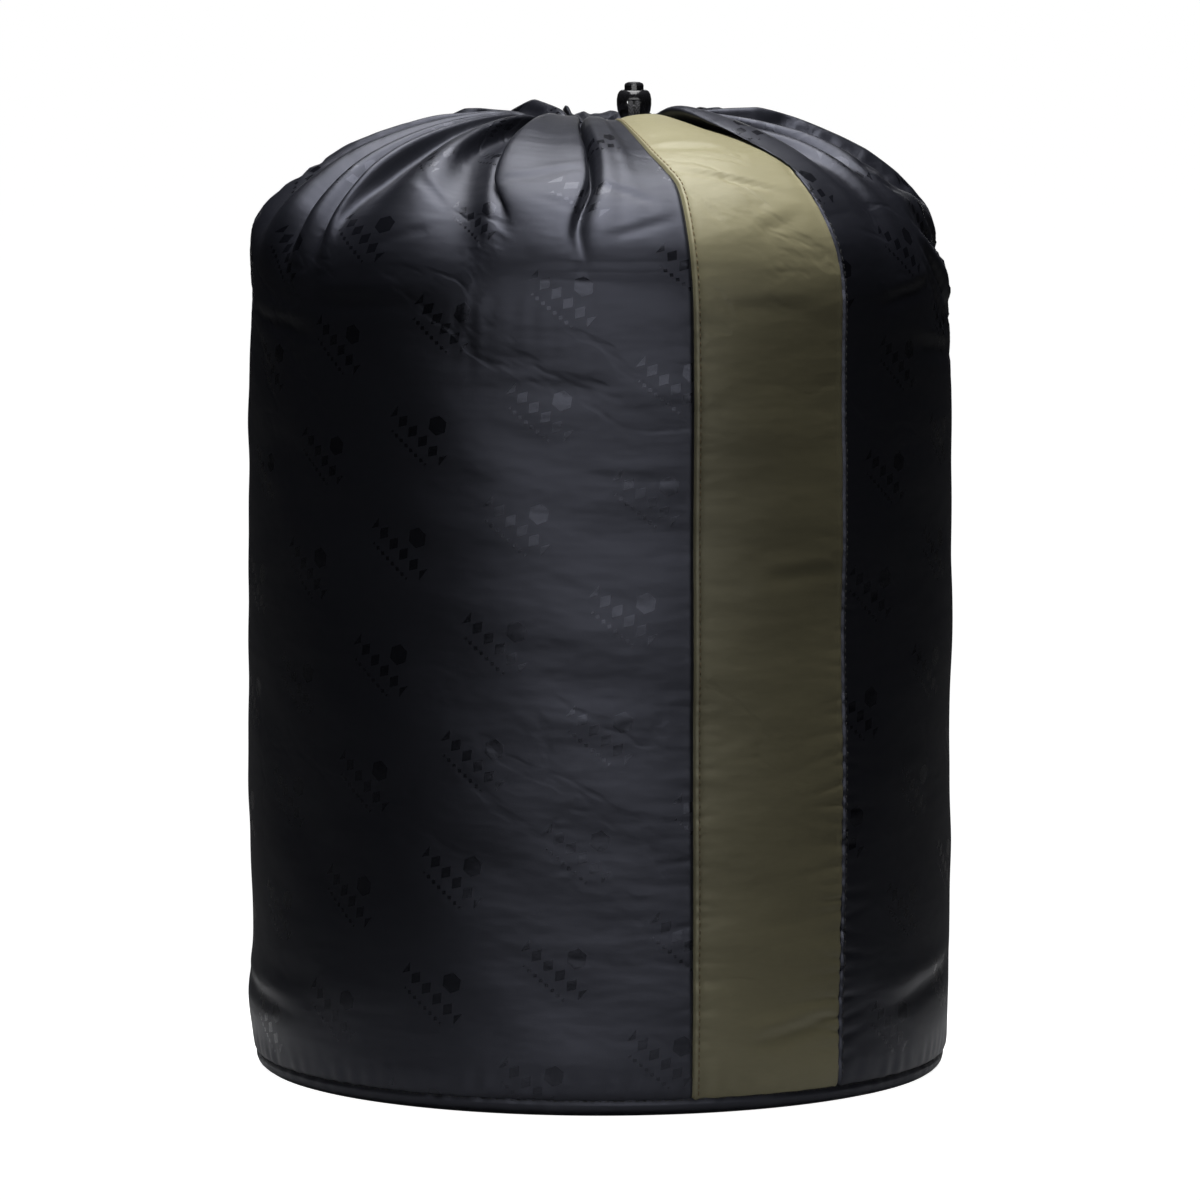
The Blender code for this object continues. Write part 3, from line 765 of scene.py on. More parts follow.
def column_azimuths():
    """Every column's azimuth, from the right seam round to the same seam, closer at the seams."""
    even = np.arange(SEAM_RIGHT, SEAM_RIGHT + 360, COLUMN_STEP)
    left = SEAM_LEFT + 360
    near = [(SEAM_RIGHT, 1), (SEAM_RIGHT + 360, -1), (left, 1), (left, -1)]
    fine = [seam + way * abs(step) for seam, way in near for step in SEAM_STEPS]
    seams = (SEAM_RIGHT, left, SEAM_RIGHT + 360)
    clear = [azimuth for azimuth in even if min(abs(azimuth - seam) for seam in seams) > SEAM_CLEAR]
    return np.unique(np.round(clear + fine, 4))


def wall_rows():
    """(radius, height) of the cloth from the base seam up to where the gathers start."""
    top = barrel_radius(FOOT_HEIGHT)
    foot = []
    for turn in np.linspace(math.pi / 2, 0, FOOT_ROWS)[:-1]:
        radius = SEAM_RADIUS + (top - SEAM_RADIUS) * math.cos(turn)
        foot.append((radius, FOOT_HEIGHT - (FOOT_HEIGHT - SEAM_HEIGHT) * math.sin(turn)))
    heights = np.linspace(FOOT_HEIGHT, SIM_BASE, WALL_ROWS)[:-1]
    return np.array(foot + [(barrel_radius(height), height) for height in heights])


def whole_cloth(top):
    """Points of the whole cloth, its columns' azimuths and its rows' distance up the cloth."""
    azimuths = column_azimuths()
    wall = wall_rows()
    below = ring_grid(azimuths, wall[:, :1], wall[:, 1:])
    above = resample(top, azimuths / 360 * COLUMNS, 1, around=True)
    above = resample(above, np.arange(0, SIM_ROWS - 0.75, 0.5), 0)
    walked = walked_along(wall)
    start = 2 * walked[-1] - walked[-2]
    rest = start + np.linspace(0, FLAT_TOP, len(above))
    return np.concatenate([below, above]), azimuths, np.concatenate([walked, rest])


def grid_normals(points):
    across = np.gradient(points, axis=1)
    up = np.gradient(points, axis=0)
    across[:, 0] = across[:, -1] = (across[:, 0] + across[:, -1]) / 2
    up[:, 0] = up[:, -1] = (up[:, 0] + up[:, -1]) / 2
    normal = np.cross(across, up)
    return normal / np.maximum(np.linalg.norm(normal, axis=-1, keepdims=True), 1e-12)


def waves(azimuths, heights, seed, count, turns, lengths):
    """Smooth random relief, about -1 to 1, that joins up round the sack."""
    chance = np.random.RandomState(seed)
    total = np.zeros((len(heights), len(azimuths)))
    for _ in range(count):
        around = chance.randint(turns[0], turns[1] + 1)
        up = chance.uniform(*lengths) * chance.choice((-1, 1))
        phase = chance.uniform(0, 2 * math.pi)
        total += np.sin(np.radians(azimuths) * around + 2 * math.pi * heights[:, None] / up + phase)
    return total / math.sqrt(count)


def pucker(distance, heights, seed, pitch, reach):
    """Short grooves that run out from a seam on one side of it, down to about -1."""
    chance = np.random.RandomState(seed)
    places = [0.012]
    while places[-1] < heights[-1]:
        places.append(places[-1] + pitch * chance.uniform(0.65, 1.5))
    total = np.zeros((len(heights), len(distance)))
    for place in places:
        long = reach * chance.uniform(0.5, 1.6)
        slope = chance.uniform(-0.25, 0.25)
        wide = pitch * chance.uniform(0.18, 0.30)
        size = chance.uniform(0.35, 1.0)
        along = heights[:, None] - place - slope * distance
        fade = np.exp(-((distance / long) ** 1.5))
        total -= size * fade * bell(along, wide)
    return total


# Long creases: azimuth, distance up the cloth, half length in degrees, tilt, depth in mm, half width
CREASES = (
    (2, 0.352, 13, 0.02, 0.55, 0.0022),
    (-6, 0.343, 9, -0.05, 0.35, 0.0030),
    (-12, 0.300, 14, 0.05, 0.30, 0.0040),
    (6, 0.262, 9, -0.06, 0.25, 0.0030),
    (28, 0.334, 8, -0.10, 0.4, 0.0040),
    (25.5, 0.400, 9, -0.75, 1.4, 0.0018),
    (18.5, 0.385, 3, -2.4, 1.0, 0.0017),
    (24, 0.428, 6, -0.30, 1.0, 0.0032),
    (33, 0.372, 5, 0.50, 0.6, 0.0040),
    (-9, 0.402, 5, 1.10, 0.5, 0.0026),
    (-5, 0.383, 4, -0.90, 0.35, 0.0022),
    (5, 0.392, 5, -0.80, 0.8, 0.0026),
    (8, 0.372, 5, 0.70, 0.5, 0.0024),
    (-34, 0.392, 4, -1.10, 0.6, 0.0028),
    (-36, 0.366, 5, 0.90, 0.4, 0.0026),
    (35, 0.218, 7, 0.10, 0.5, 0.0040),
    (-40, 0.335, 12, 0.12, 0.9, 0.0045),
    (-64, 0.322, 10, -0.15, 1.0, 0.0040),
    (60, 0.336, 9, 0.25, 1.2, 0.0035),
    (74, 0.310, 12, -0.20, 1.1, 0.0045),
    (95, 0.330, 12, 0.15, 1.0, 0.0040),
    (128, 0.318, 14, -0.08, 1.0, 0.0040),
    (150, 0.250, 16, 0.06, 0.8, 0.0040),
    (-100, 0.328, 14, 0.10, 1.0, 0.0045),
    (-130, 0.290, 15, -0.07, 0.9, 0.0040),
    (-160, 0.335, 13, 0.09, 1.0, 0.0040),
    (33, 0.026, 7, 0.35, 1.3, 0.0040),
    (70, 0.036, 14, 0.20, 1.4, 0.0060),
    (-75, 0.030, 16, -0.12, 1.2, 0.0050),
    (110, 0.028, 15, -0.15, 1.3, 0.0050),
    (-140, 0.034, 18, 0.12, 1.2, 0.0050),
)


def creases(azimuths, heights):
    """Each crease is a groove, with a lower ridge along its upper side."""
    total = np.zeros((len(heights), len(azimuths)))
    for azimuth, height, half, tilt, depth, wide in CREASES:
        apart = degrees_past(azimuths, azimuth)
        across = heights[:, None] - height - tilt * apart * DEGREE * 0.5
        fade = np.exp(-((apart / half) ** 4))
        total += depth * fade * (0.5 * bell(across - 1.3 * wide, wide) - bell(across, wide))
    return total * 0.001


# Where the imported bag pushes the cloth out: azimuth, its half width, distance up the cloth,
# half height, depth in metres
LOBES = ((-92, 30, 0.362, 0.020, 0.0045), (-92, 35, 0.022, 0.018, 0.0026))


def lobes(azimuths, heights):
    total = 0.0
    for azimuth, half, height, rise, depth in LOBES:
        away = bell(degrees_past(azimuths, azimuth), half)
        total = total + depth * away * bell(heights[:, None] - height, rise)
    return total


# The stripe's seams: azimuth, which way the olive cloth lies, seed and depth of the puckers
SIDE_SEAMS = ((SEAM_LEFT, 1, 11, 0.00035), (SEAM_RIGHT, -1, 23, 0.00105))
PUCKER_PITCH, PUCKER_REACHES = 0.0062, ((1, 0.009), (-1, 0.011))
GROOVE_DEPTH, GROOVE_WIDTH = 0.0008, 0.00075
RIDGE_PLACE, RIDGE_WIDTH, OLIVE_RIDGE, DARK_RIDGE = 0.0016, 0.0011, 0.00035, 0.00008
BASE_GATHERS = (8, (60, 130), (0.05, 0.2))  # waves: how many, turns round the sack, lengths


def seam_relief(azimuths, heights):
    """The groove of each side seam, the ridge of its allowance and the puckers beside it."""
    total = 0.0
    lower = 1.2 - 0.9 * ramp(heights, 0, 0.20)[:, None]
    for seam, olive_way, seed, size in SIDE_SEAMS:
        apart = degrees_past(azimuths, seam) * DEGREE
        for way, reach in PUCKER_REACHES:
            side = np.where(apart * way >= 0, np.abs(apart), 1.0)
            puckers = pucker(side, heights, seed + way, PUCKER_PITCH, reach)
            total = total + puckers * size * lower
        total = total - GROOVE_DEPTH * bell(apart, GROOVE_WIDTH)
        ridge = np.where(apart * olive_way > 0, OLIVE_RIDGE, DARK_RIDGE)
        total = total + ridge * bell(np.abs(apart) - RIDGE_PLACE, RIDGE_WIDTH)
    return total


def relief(azimuths, heights):
    """How far each point of the cloth stands proud of its smooth shape, in metres."""
    above_seam = ramp(heights, 0, 0.03)[:, None]
    below_mouth = ramp(-heights, -heights[-1], 0.16)[:, None]
    soft = waves(azimuths, heights, 5, 12, (2, 9), (0.09, 0.30)) * 0.00055
    fine = waves(azimuths, heights, 8, 14, (3, 22), (0.030, 0.075)) * 0.00014
    total = (soft + fine) * below_mouth + creases(azimuths, heights) + lobes(azimuths, heights)
    total = total * above_seam + seam_relief(azimuths, heights)
    groove = bell(heights, 0.0016)[:, None] * 0.0005
    gathers = waves(azimuths, heights, 31, *BASE_GATHERS) * bell(heights - 0.004, 0.006)[:, None]
    return total - groove + gathers * 0.00022


def panels(points, azimuths, heights, hem_cloth):
    """The dark panel and the olive stripe, cut from the cloth at the seams."""
    uv = cloth_uv_grid(azimuths * DEGREE, heights)
    left = int(np.argmin(np.abs(azimuths - SEAM_LEFT - 360)))
    for name, part, material, slot in (
        ("body_panel", slice(0, left + 1), CHARCOAL, "charcoal_nylon"),
        ("accent_stripe", slice(left, None), OLIVE, "olive_nylon"),
    ):
        data = grid_data(name + "_cloth", points[:, part], uv[:, part])
        panel = new_piece(data, "sack", material)
        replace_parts(panel, name)


# Cloth materials


PRINT_TURN, PRINT_WIDE, PRINT_HIGH = 40.0, 0.058, 0.044  # slope in degrees, pitches in metres
PRINT_SLIDE = 0.42  # how far each row is shifted against the one below, as a share of the pitch
PRINT_EDGE = 0.3  # how soft the print's edges are, in mm


def repeated(n, value, pitch):
    """Distance from the middle of the repeat that a place is in."""
    share = n.math("FRACT", n.math("DIVIDE", value, pitch))
    return n.math("ABSOLUTE", n.times_add(share, pitch, -pitch / 2))


def within(n, value, limit):
    """1 where a distance is under a limit, 0 past it, both in mm."""
    return n.smooth_step(n.math("ABSOLUTE", value), limit, limit - PRINT_EDGE)


def tonal_print(n):
    """Rows of plain lozenges with a hexagon over them, slanting down the cloth, from 0 to 1."""
    across, up = n.cloth_uv(PRINT_TURN)
    row = n.math("DIVIDE", up, PRINT_HIGH)
    slid = n.times_add(n.math("FLOOR", row), PRINT_SLIDE * PRINT_WIDE, across)
    share = n.math("FRACT", n.math("DIVIDE", slid, PRINT_WIDE))
    x = n.times_add(share, PRINT_WIDE * 1000, PRINT_WIDE * -500)
    y = n.times_add(n.math("FRACT", row), PRINT_HIGH * 1000, PRINT_HIGH * -500)
    tall = n.math("ABSOLUTE", y)
    lozenge = n.times_add(tall, 0.72, repeated(n, x, 6.4))
    large = n.times(within(n, lozenge, 2.7), within(n, x, 16.0))
    below = n.math("ABSOLUTE", n.math("ADD", y, 7.0))
    small = n.math("ADD", below, repeated(n, x, 3.2))
    small = n.times(within(n, small, 1.3), within(n, x, 11.2))
    dx = n.math("ABSOLUTE", n.math("ADD", x, -4.0))
    dy = n.math("ABSOLUTE", n.math("ADD", y, -10.0))
    slope = n.times_add(dx, 0.866, n.times(dy, 0.5))
    hexagon = within(n, n.math("MAXIMUM", slope, dy), 4.1)
    return n.math("MAXIMUM", n.math("MAXIMUM", large, small), hexagon)


def scaled(colour, share, more=0.0):
    return [channel * share + more for channel in colour]


WEAVE_PACE = 14000.0  # radians a metre: a thread every 0.45 mm
DOME_STARTS = (0.26, 0.34)  # how far up the cloth the creasing grows stronger


def kinked(n, up):
    """Sharp small creases here and there, stronger on the dome than on the wall."""
    bends = n.math("ABSOLUTE", n.math("SUBTRACT", n.noise(15.0, 0.7, 1.3, 4.0, 25.0), 0.5))
    kept = n.smooth_step(n.noise(11.0, 1.0, 1.0, 2.0), 0.48, 0.62)
    strength = n.between(n.smooth_step(up, *DOME_STARTS), 0.06, 0.16)
    return n.times(n.times(n.smooth_step(bends, 0.035, 0.0), kept), strength)


def nylon(name, colour, roughness, gloss, printed=False):
    """Satin nylon: weave, fine creases, uneven colour and gloss, and wear near the base seam."""
    made, n = new_material(name)
    across, up = n.cloth_uv()
    weave = n.times_add(n.times(n.wave(across, WEAVE_PACE), n.wave(up, WEAVE_PACE)), 0.5, 0.5)
    slub = n.noise(420.0, 0.5, 1.5, 2.0)
    crinkle = n.noise(26.0, 0.6, 1.4, 3.0)
    soft = n.noise(9.0, 0.6, 1.4, 2.0)
    shade = n.times_add(slub, 0.15, n.times(soft, 0.85))
    body = n.mix(n.smooth_step(shade, 0.3, 0.7), scaled(colour, 0.88), scaled(colour, 1.15, 0.001))
    scuff = n.times(n.smooth_step(up, 0.016, 0.002), n.smooth_step(crinkle, 0.48, 0.66))
    body = n.mix(n.times(scuff, 0.5), body, scaled(colour, 1.5, 0.012))
    rough = n.times_add(scuff, 0.15, n.times_add(slub, 0.04, roughness - 0.02))
    height = n.times(weave, 0.02)
    if printed:
        mark = tonal_print(n)
        body = n.mix(mark, body, scaled(colour, 0.6))
        rough = n.times_add(mark, -0.16, rough)
        height = n.times_add(mark, 0.01, height)
    creased = n.math("SUBTRACT", crinkle, kinked(n, up))
    normal = n.bump(n.times_add(soft, 1.5, creased), 0.0013)
    normal = n.bump(height, 0.0008, normal)
    n.surface(Base_Color=body, Roughness=rough, Normal=normal, IOR=1.53, Specular_Tint=gloss)
    return made


def thread_material(name, colour):
    """Twisted sewing thread."""
    made, n = new_material(name)
    around, along = n.cloth_uv()
    ply = n.math("SINE", n.times_add(around, 9000.0, n.times(along, 5200.0)))
    fleck = n.noise(1500.0)
    # The thread is painted lighter on its plies' crowns and darker in the grooves of the twist,
    # which is painted shade; the fleck adds random tone.
    shade = n.times(n.times_add(ply, 0.3, 0.7), fleck)
    n.surface(Base_Color=n.mix(shade, scaled(colour, 0.5), scaled(colour, 1.6)))
    n.surface(Roughness=n.between(fleck, 0.5, 0.7), Normal=n.bump(ply, 0.00008))
    return made


COOL, WARM = (0.78, 0.81, 1.0), (1.0, 0.98, 0.84)  # tints of the two fabrics' gloss
CHARCOAL = nylon("charcoal_nylon_fine", (0.0060, 0.0064, 0.0092), 0.41, COOL, True)
OLIVE = nylon("olive_nylon_fine", (0.175, 0.160, 0.094), 0.42, WARM)
DARK_THREAD = thread_material("sewing_thread_dark", (0.012, 0.012, 0.014))
OLIVE_THREAD = thread_material("sewing_thread_olive", (0.150, 0.105, 0.045))

cloth_points, cloth_azimuths, cloth_heights = whole_cloth(gathered_top())
cloth_normals = grid_normals(cloth_points)
cloth_points = cloth_points + cloth_normals * relief(cloth_azimuths, cloth_heights)[..., None]
cloth_normals = grid_normals(cloth_points)

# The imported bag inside, seen only through the mouth


BAG_COLUMNS = 120
BAG_FOOT = ((0.004, 0.0035), (0.07, 0.0032), (0.125, 0.0036), (0.139, 0.008), (0.1435, 0.018))
BAG_INSETS = ((0.03, 0.25, 0.36, 0.40), (0.005, 0.005, 0.016, 0.016))  # heights, and clearance


def packed_bag():
    """The bag's shell: a closed lumpy form, a little inside the cloth."""
    outer = np.array([(barrel_radius(h), h) for h in np.linspace(0.030, SIM_BASE, 26)[:-1]])
    line = np.concatenate([outer, meridian(34)])
    inset = np.interp(line[:, 1], *BAG_INSETS)
    line = line + inward_normals(line) * inset[:, None]
    top = line[-1]
    crown = [(top[0] * share, top[1] + 0.003 * (1 - share**2)) for share in (0.75, 0.5, 0.25, 0.04)]
    line = np.concatenate([BAG_FOOT, line, crown])
    azimuths = np.arange(BAG_COLUMNS) * 360 / BAG_COLUMNS
    ridge = waves(azimuths, line[:, 1], 41, 10, (3, 12), (0.03, 0.09)) * 0.0009
    height = line[:, 1:] - np.abs(ridge) * (line[:, 1:] > 0.03)
    points = ring_grid(azimuths, line[:, :1] * (1 - ridge * 4), height)
    around = np.linspace(0, 2 * math.pi * BODY_RADIUS, BAG_COLUMNS + 1)
    data = capped_grid_data("packed_bag_shell", points, cloth_uv_grid(around, walked_along(line)))
    bag = new_piece(data, "sack", bag_material())
    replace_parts(bag, "packed_sleeping_bag")


def bag_material():
    """Thin ripstop shell of a sleeping bag."""
    made, n = new_material("sleeping_bag_shell_fine")
    across, up = n.cloth_uv()
    grid = []
    for way in (across, up):
        line = n.math("ABSOLUTE", n.wave(way, 630.0))
        grid.append(n.smooth_step(line, 0.12, 0.04))
    ripstop = n.math("MAXIMUM", *grid)
    crinkle = n.noise(60.0, 1.0, 1.0, 4.0)
    # The crinkles' crests are painted lighter and their hollows darker, from the same noise as their
    # bump: painted shade.
    body = n.mix(crinkle, (0.020, 0.022, 0.030), (0.050, 0.054, 0.068))
    body = n.mix(n.times(ripstop, 0.5), body, (0.07, 0.075, 0.09))
    normal = n.bump(n.times_add(ripstop, 0.05, crinkle), 0.004)
    n.surface(Base_Color=body, Roughness=n.between(crinkle, 0.4, 0.6), Normal=normal)
    return made


packed_bag()

# The base: its panel, the tape inside its seam


BASE_COLUMNS, TAPE_COLUMNS = 576, 360
BASE_SHARES = (0.97, 0.9, 0.75, 0.55, 0.35, 0.15, 0.01)  # rings of the part that lies flat
RIM_TOP = SEAM_HEIGHT - 0.0002
ALLOWANCE = [(SEAM_RADIUS - 0.0010, SEAM_HEIGHT + 0.0030), (SEAM_RADIUS - 0.0007, RIM_TOP)]
SWELL_PLACE, SWELL_WIDTH, SWELL = 0.0085, 0.003, 0.0006  # the roll of cloth under the seam


def base_outline():
    """(radius, height) from the base's middle out over its rim to its seam allowance."""
    rim = []
    for turn in np.linspace(math.pi / 2, 0, 12)[1:]:
        radius = BASE_FLAT_RADIUS + (SEAM_RADIUS - BASE_FLAT_RADIUS) * math.sin(turn)
        rim.append((radius, RIM_TOP * (1 - math.cos(turn))))
    flat = [(BASE_FLAT_RADIUS * share, 0.0) for share in BASE_SHARES]
    return np.array(ALLOWANCE + rim + flat)[::-1]


def base_panel():
    """The round bottom, bulged at its rim, with the small gathers of the base seam."""
    azimuths = np.linspace(0, 360, BASE_COLUMNS, endpoint=False)
    line = base_outline()
    walked = walked_along(line)
    from_edge = (walked[-1] - walked)[:, None]
    near = bell(from_edge, 0.006)
    gathers = waves(azimuths, walked, 37, *BASE_GATHERS) * near * 0.00025
    swell = bell(from_edge - SWELL_PLACE, SWELL_WIDTH) * SWELL
    slump = waves(azimuths, walked, 43, 6, (2, 7), (0.2, 0.5)) * 0.0003
    radii = line[:, :1] + gathers + swell + slump * near
    height = np.maximum(0.0, line[:, 1:] + slump * (line[:, 1:] > 0.001))
    uv = ring_grid(np.append(azimuths, 360), line[:, :1], 0.0)[..., :2]
    data = grid_data("base_panel_cloth", ring_grid(azimuths, radii, height), uv, closed=True)
    panel = new_piece(data, "sack", BASE_CLOTH)
    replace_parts(panel, "base_panel")


# The tape's section, as (how far in from the seam, how far above it)
TAPE_SECTION = (
    (0.0012, 0.0), (0.0011, 0.004), (0.0013, 0.0075), (0.0018, 0.0086), (0.0024, 0.0076),
    (0.0026, 0.004), (0.0025, 0.0002),
)


def seam_tape():
    """The tape folded over the base seam's allowance, inside the sack."""
    azimuths = np.linspace(0, 360, TAPE_COLUMNS, endpoint=False)
    line = np.array([(SEAM_RADIUS - inset, SEAM_HEIGHT + rise) for inset, rise in TAPE_SECTION])
    walked = walked_along(line)
    wave = waves(azimuths, walked, 51, 6, (20, 60), (0.05, 0.2)) * 0.00018
    points = ring_grid(azimuths, line[:, :1] + wave, line[:, 1:] + wave * 0.5)
    uv = cloth_uv_grid(np.append(azimuths, 360) * DEGREE, walked)
    data = grid_data("base_seam_tape", points, uv, closed=True)
    tape = new_piece(data, "sack", tape_material())
    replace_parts(tape, "base_seam_binding")


def tape_material():
    """Ribbed polyester tape."""
    made, n = new_material("binding_tape_fine")
    rib = n.wave(n.cloth_uv()[0], 7000.0)
    fleck = n.noise(500.0)
    n.surface(Base_Color=n.mix(fleck, (0.012, 0.012, 0.013), (0.035, 0.035, 0.038)))
    n.surface(Roughness=n.between(fleck, 0.6, 0.8), Normal=n.bump(rib, 0.0001))
    return made


BASE_CLOTH = nylon("charcoal_nylon_base", (0.0080, 0.0085, 0.0115), 0.46, COOL)
base_panel()
seam_tape()

# The mouth: the hem over the drawcord


HEM_COLUMNS, HEM_ROWS = 720, 22
HEM_TURNS = (-60, 240)  # degrees of the hem's tube that the cloth covers
PLEAT_WIDTHS = (5.0, 11.5)  # degrees
OLIVE_HEM = (8, 44)  # azimuths where the hem is the stripe's cloth


def hem_pleats(azimuths):
    """The hem's pleats: round crowns of uneven width and height, with sharp valleys between."""
    chance = np.random.RandomState(3)
    edges = [0.0]
    while edges[-1] < 352:
        edges.append(edges[-1] + chance.uniform(*PLEAT_WIDTHS))
    edges[-1] = 360.0
    sizes = chance.uniform(0.45, 1.0, len(edges))
    sizes[-1] = sizes[0]
    index = np.searchsorted(edges, azimuths, side="right") - 1
    low, high = np.array(edges)[index], np.array(edges)[index + 1]
    share = (azimuths - low) / (high - low)
    size = sizes[index] * (1 - share) + sizes[index + 1] * share
    return size * (np.abs(np.sin(math.pi * share)) ** 0.6 - 0.6)


def hem():
    """The gathered tube of cloth round the drawcord, crumpled into small pleats."""
    azimuths = np.linspace(0, 360, HEM_COLUMNS, endpoint=False)
    degrees = np.linspace(*HEM_TURNS, HEM_ROWS)
    turns = np.radians(degrees)[:, None]
    lump = waves(azimuths, np.array([0.0]), 7, 6, (2, 9), (1, 2))[0]
    thick = HEM_RADIUS * (1.02 + 0.34 * hem_pleats(azimuths) + 0.07 * lump)
    flat = 1 - 0.14 * np.sin(turns) ** 2
    radii = RING_RADIUS + 0.0002 * lump + thick * np.cos(turns) * 1.05
    height = RING_HEIGHT + 0.0004 * lump + thick * np.sin(turns) * flat
    points = ring_grid(azimuths, radii, height)
    uv = cloth_uv_grid(np.append(azimuths, 360) * 0.0026, degrees * 0.000055)
    data = grid_data("drawcord_hem_cloth", points[:, ::-1], uv[:, ::-1], closed=True)
    made = new_piece(data, "sack", BASE_CLOTH, OLIVE)
    middle = (np.arange(HEM_COLUMNS)[::-1] + 0.5) * 360 / HEM_COLUMNS
    stripe = (middle > OLIVE_HEM[0]) & (middle < OLIVE_HEM[1])
    data.polygons.foreach_set("material_index", np.tile(stripe.astype(np.int32), HEM_ROWS - 1))
    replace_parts(made, "drawcord_hem")
    return made


def cord_in_hem():
    """The drawcord inside the hem, its two ends turned up to the buttonhole."""
    back = math.degrees((STRAND_OFFSET + EXIT_BEND) / RING_RADIUS)
    first, last = EXIT_AZIMUTH + back, EXIT_AZIMUTH + 360 - back
    path = [azimuth_vector(a, RING_RADIUS, RING_HEIGHT) for a in np.linspace(first, last, 180)]
    tangent = azimuth_vector(EXIT_AZIMUTH + 90)
    for side in (1, -1):
        bend = []
        for turn in np.radians((30, 60, 90)):
            along = STRAND_OFFSET + EXIT_BEND * (1 - math.sin(turn))
            rise = EXIT_BEND * (1 - math.cos(turn))
            bend.append(EXIT + tangent * side * along + Vector((0, 0, rise)))
        bend.append(EXIT + tangent * side * STRAND_OFFSET + Vector((0, 0, HEM_RADIUS)))
        path = bend[::-1] + path if side > 0 else path + bend
    cord = tube("drawcord_in_hem_braid", evenly(path, 260), CORD_RADIUS, "sack", CORD)
    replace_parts(cord, "drawcord_in_hem")


cord_in_hem()
panels(cloth_points, cloth_azimuths, cloth_heights, hem())

# Stitching


STITCH_SIDES, STITCH_RINGS = 8, 7
STITCH_RADIUS, STITCH_PITCH, STITCH_LONG = 0.00026, 0.0031, 0.0023
FIRST_STITCH = 0.003  # how far above the base seam a side seam's stitching starts


def stitches(name, centres, normals, alongs, long, radius, material, node):
    """A row of separate stitches, each an arched bit of thread that dips into the cloth."""
    sides = STITCH_SIDES
    share = np.linspace(-0.5, 0.5, STITCH_RINGS)
    arch = (1 - (2 * share) ** 4) * radius * 0.9 - radius * 0.6
    wide = radius * np.sqrt(np.clip(1.02 - (2 * share) ** 6, 0.08, 1))[:, None, None]
    turns = np.linspace(0, 2 * math.pi, sides, endpoint=False)[:, None]
    ring = np.arange(sides)
    around = np.stack([ring, ring + 1, ring + 1, ring], axis=1) * radius * 0.785
    meshes, faces, coords = [], [], []
    for number, (centre, normal, along) in enumerate(zip(centres, normals, alongs)):
        middle = centre + along * share[:, None] * long + normal * arch[:, None]
        section = np.cos(turns) * np.cross(along, normal) + np.sin(turns) * normal
        meshes.append((middle[:, None, :] + wide * section).reshape(-1, 3))
        start = number * sides * STITCH_RINGS
        for row in range(STITCH_RINGS - 1):
            a = start + row * sides + ring
            b = start + row * sides + (ring + 1) % sides
            faces += np.stack([a, b, b + sides, a + sides], axis=1).tolist()
            up = share[[row, row, row + 1, row + 1]] * long
            coords.append(np.stack(np.broadcast_arrays(around, up), axis=-1).reshape(-1, 2))
        last = start + sides * (STITCH_RINGS - 1)
        faces += [(start + ring[::-1]).tolist(), (last + ring).tolist()]
        coords.append(np.zeros((2 * sides, 2)))
    data = bpy.data.meshes.new(name)
    data.from_pydata(np.concatenate(meshes).tolist(), [], faces)
    layer = data.uv_layers.new(name="cloth")
    layer.data.foreach_set("uv", np.concatenate(coords).astype(np.float32).ravel())
    data.shade_smooth()
    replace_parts(new_piece(data, "sack", material), node)


def square_to(vectors, normals):
    """The vectors without their share along the normals, at length one."""
    return unit(vectors - normals * (vectors * normals).sum(1)[:, None])


def on_column(azimuth, high):
    """Places for stitches up one column of the cloth to high, with normals and directions."""
    column = int(np.argmin(np.abs(cloth_azimuths - azimuth)))
    line = cloth_points[:, column]
    walked = walked_along(line)
    wanted = np.arange(FIRST_STITCH, min(high, walked[-1]), STITCH_PITCH)
    normals = unit(read_along(cloth_normals[:, column], walked, wanted))
    alongs = read_along(np.gradient(line, walked, axis=0), walked, wanted)
    return read_along(line, walked, wanted), normals, square_to(alongs, normals)


# Beside the stripe's seams: name, azimuth as the columns count it, top, thread and node
SIDE_STITCHING = (
    ("side_stitching_left", SEAM_LEFT + 360.95, 0.60, OLIVE_THREAD, "side_seam_thread_left"),
    ("side_stitching_right", SEAM_RIGHT + 0.6, 0.385, DARK_THREAD, "side_seam_thread_right"),
)


def side_stitching():
    for name, azimuth, high, thread, node in SIDE_STITCHING:
        stitches(name, *on_column(azimuth, high), STITCH_LONG, STITCH_RADIUS, thread, node)


def round_stitching(name, radius, height, pitch, out, node):
    """Stitches in a ring about the sack's axis, their outer side leaning by out."""
    count = int(2 * math.pi * radius / pitch)
    angle = np.arange(count) * 2 * math.pi / count
    outward = ring_grid(np.degrees(angle), 1.0, 0.0)
    centres = outward * radius + np.array([0, 0, height])
    alongs = np.stack([np.cos(angle), np.sin(angle), np.zeros(count)], axis=1)
    normals = unit(outward * out[0] + np.array([0, 0, out[1]]))
    stitches(name, centres, normals, alongs, pitch * 0.72, 0.00024, DARK_THREAD, node)


BUTTONHOLE_STITCHES, BUTTONHOLE_SIZE = 26, (0.0038, 0.0023)  # half its length and width


def buttonhole():
    """Close stitches round the hole where the cord leaves the hem."""
    tangent = np.array(azimuth_vector(EXIT_AZIMUTH + 90))
    inward = np.array(azimuth_vector(EXIT_AZIMUTH))
    turns = np.linspace(0, 2 * math.pi, BUTTONHOLE_STITCHES, endpoint=False)[:, None]
    long, wide = BUTTONHOLE_SIZE
    oval = np.cos(turns) * tangent * long + np.sin(turns) * inward * wide
    side = oval @ inward
    lift = np.sqrt(np.maximum(0, (HEM_RADIUS * 1.05) ** 2 - side**2))
    centres = np.array(EXIT) + oval + np.array([0, 0, 1]) * lift[:, None]
    normals = unit(inward * side[:, None] + np.array([0, 0, 1]) * lift[:, None])
    outward = square_to(np.cos(turns) * tangent + np.sin(turns) * inward, normals)
    size = (0.0014, 0.00022)
    stitches(
        "buttonhole_stitches", centres, normals, outward, *size, OLIVE_THREAD, "buttonhole_stitching"
    )


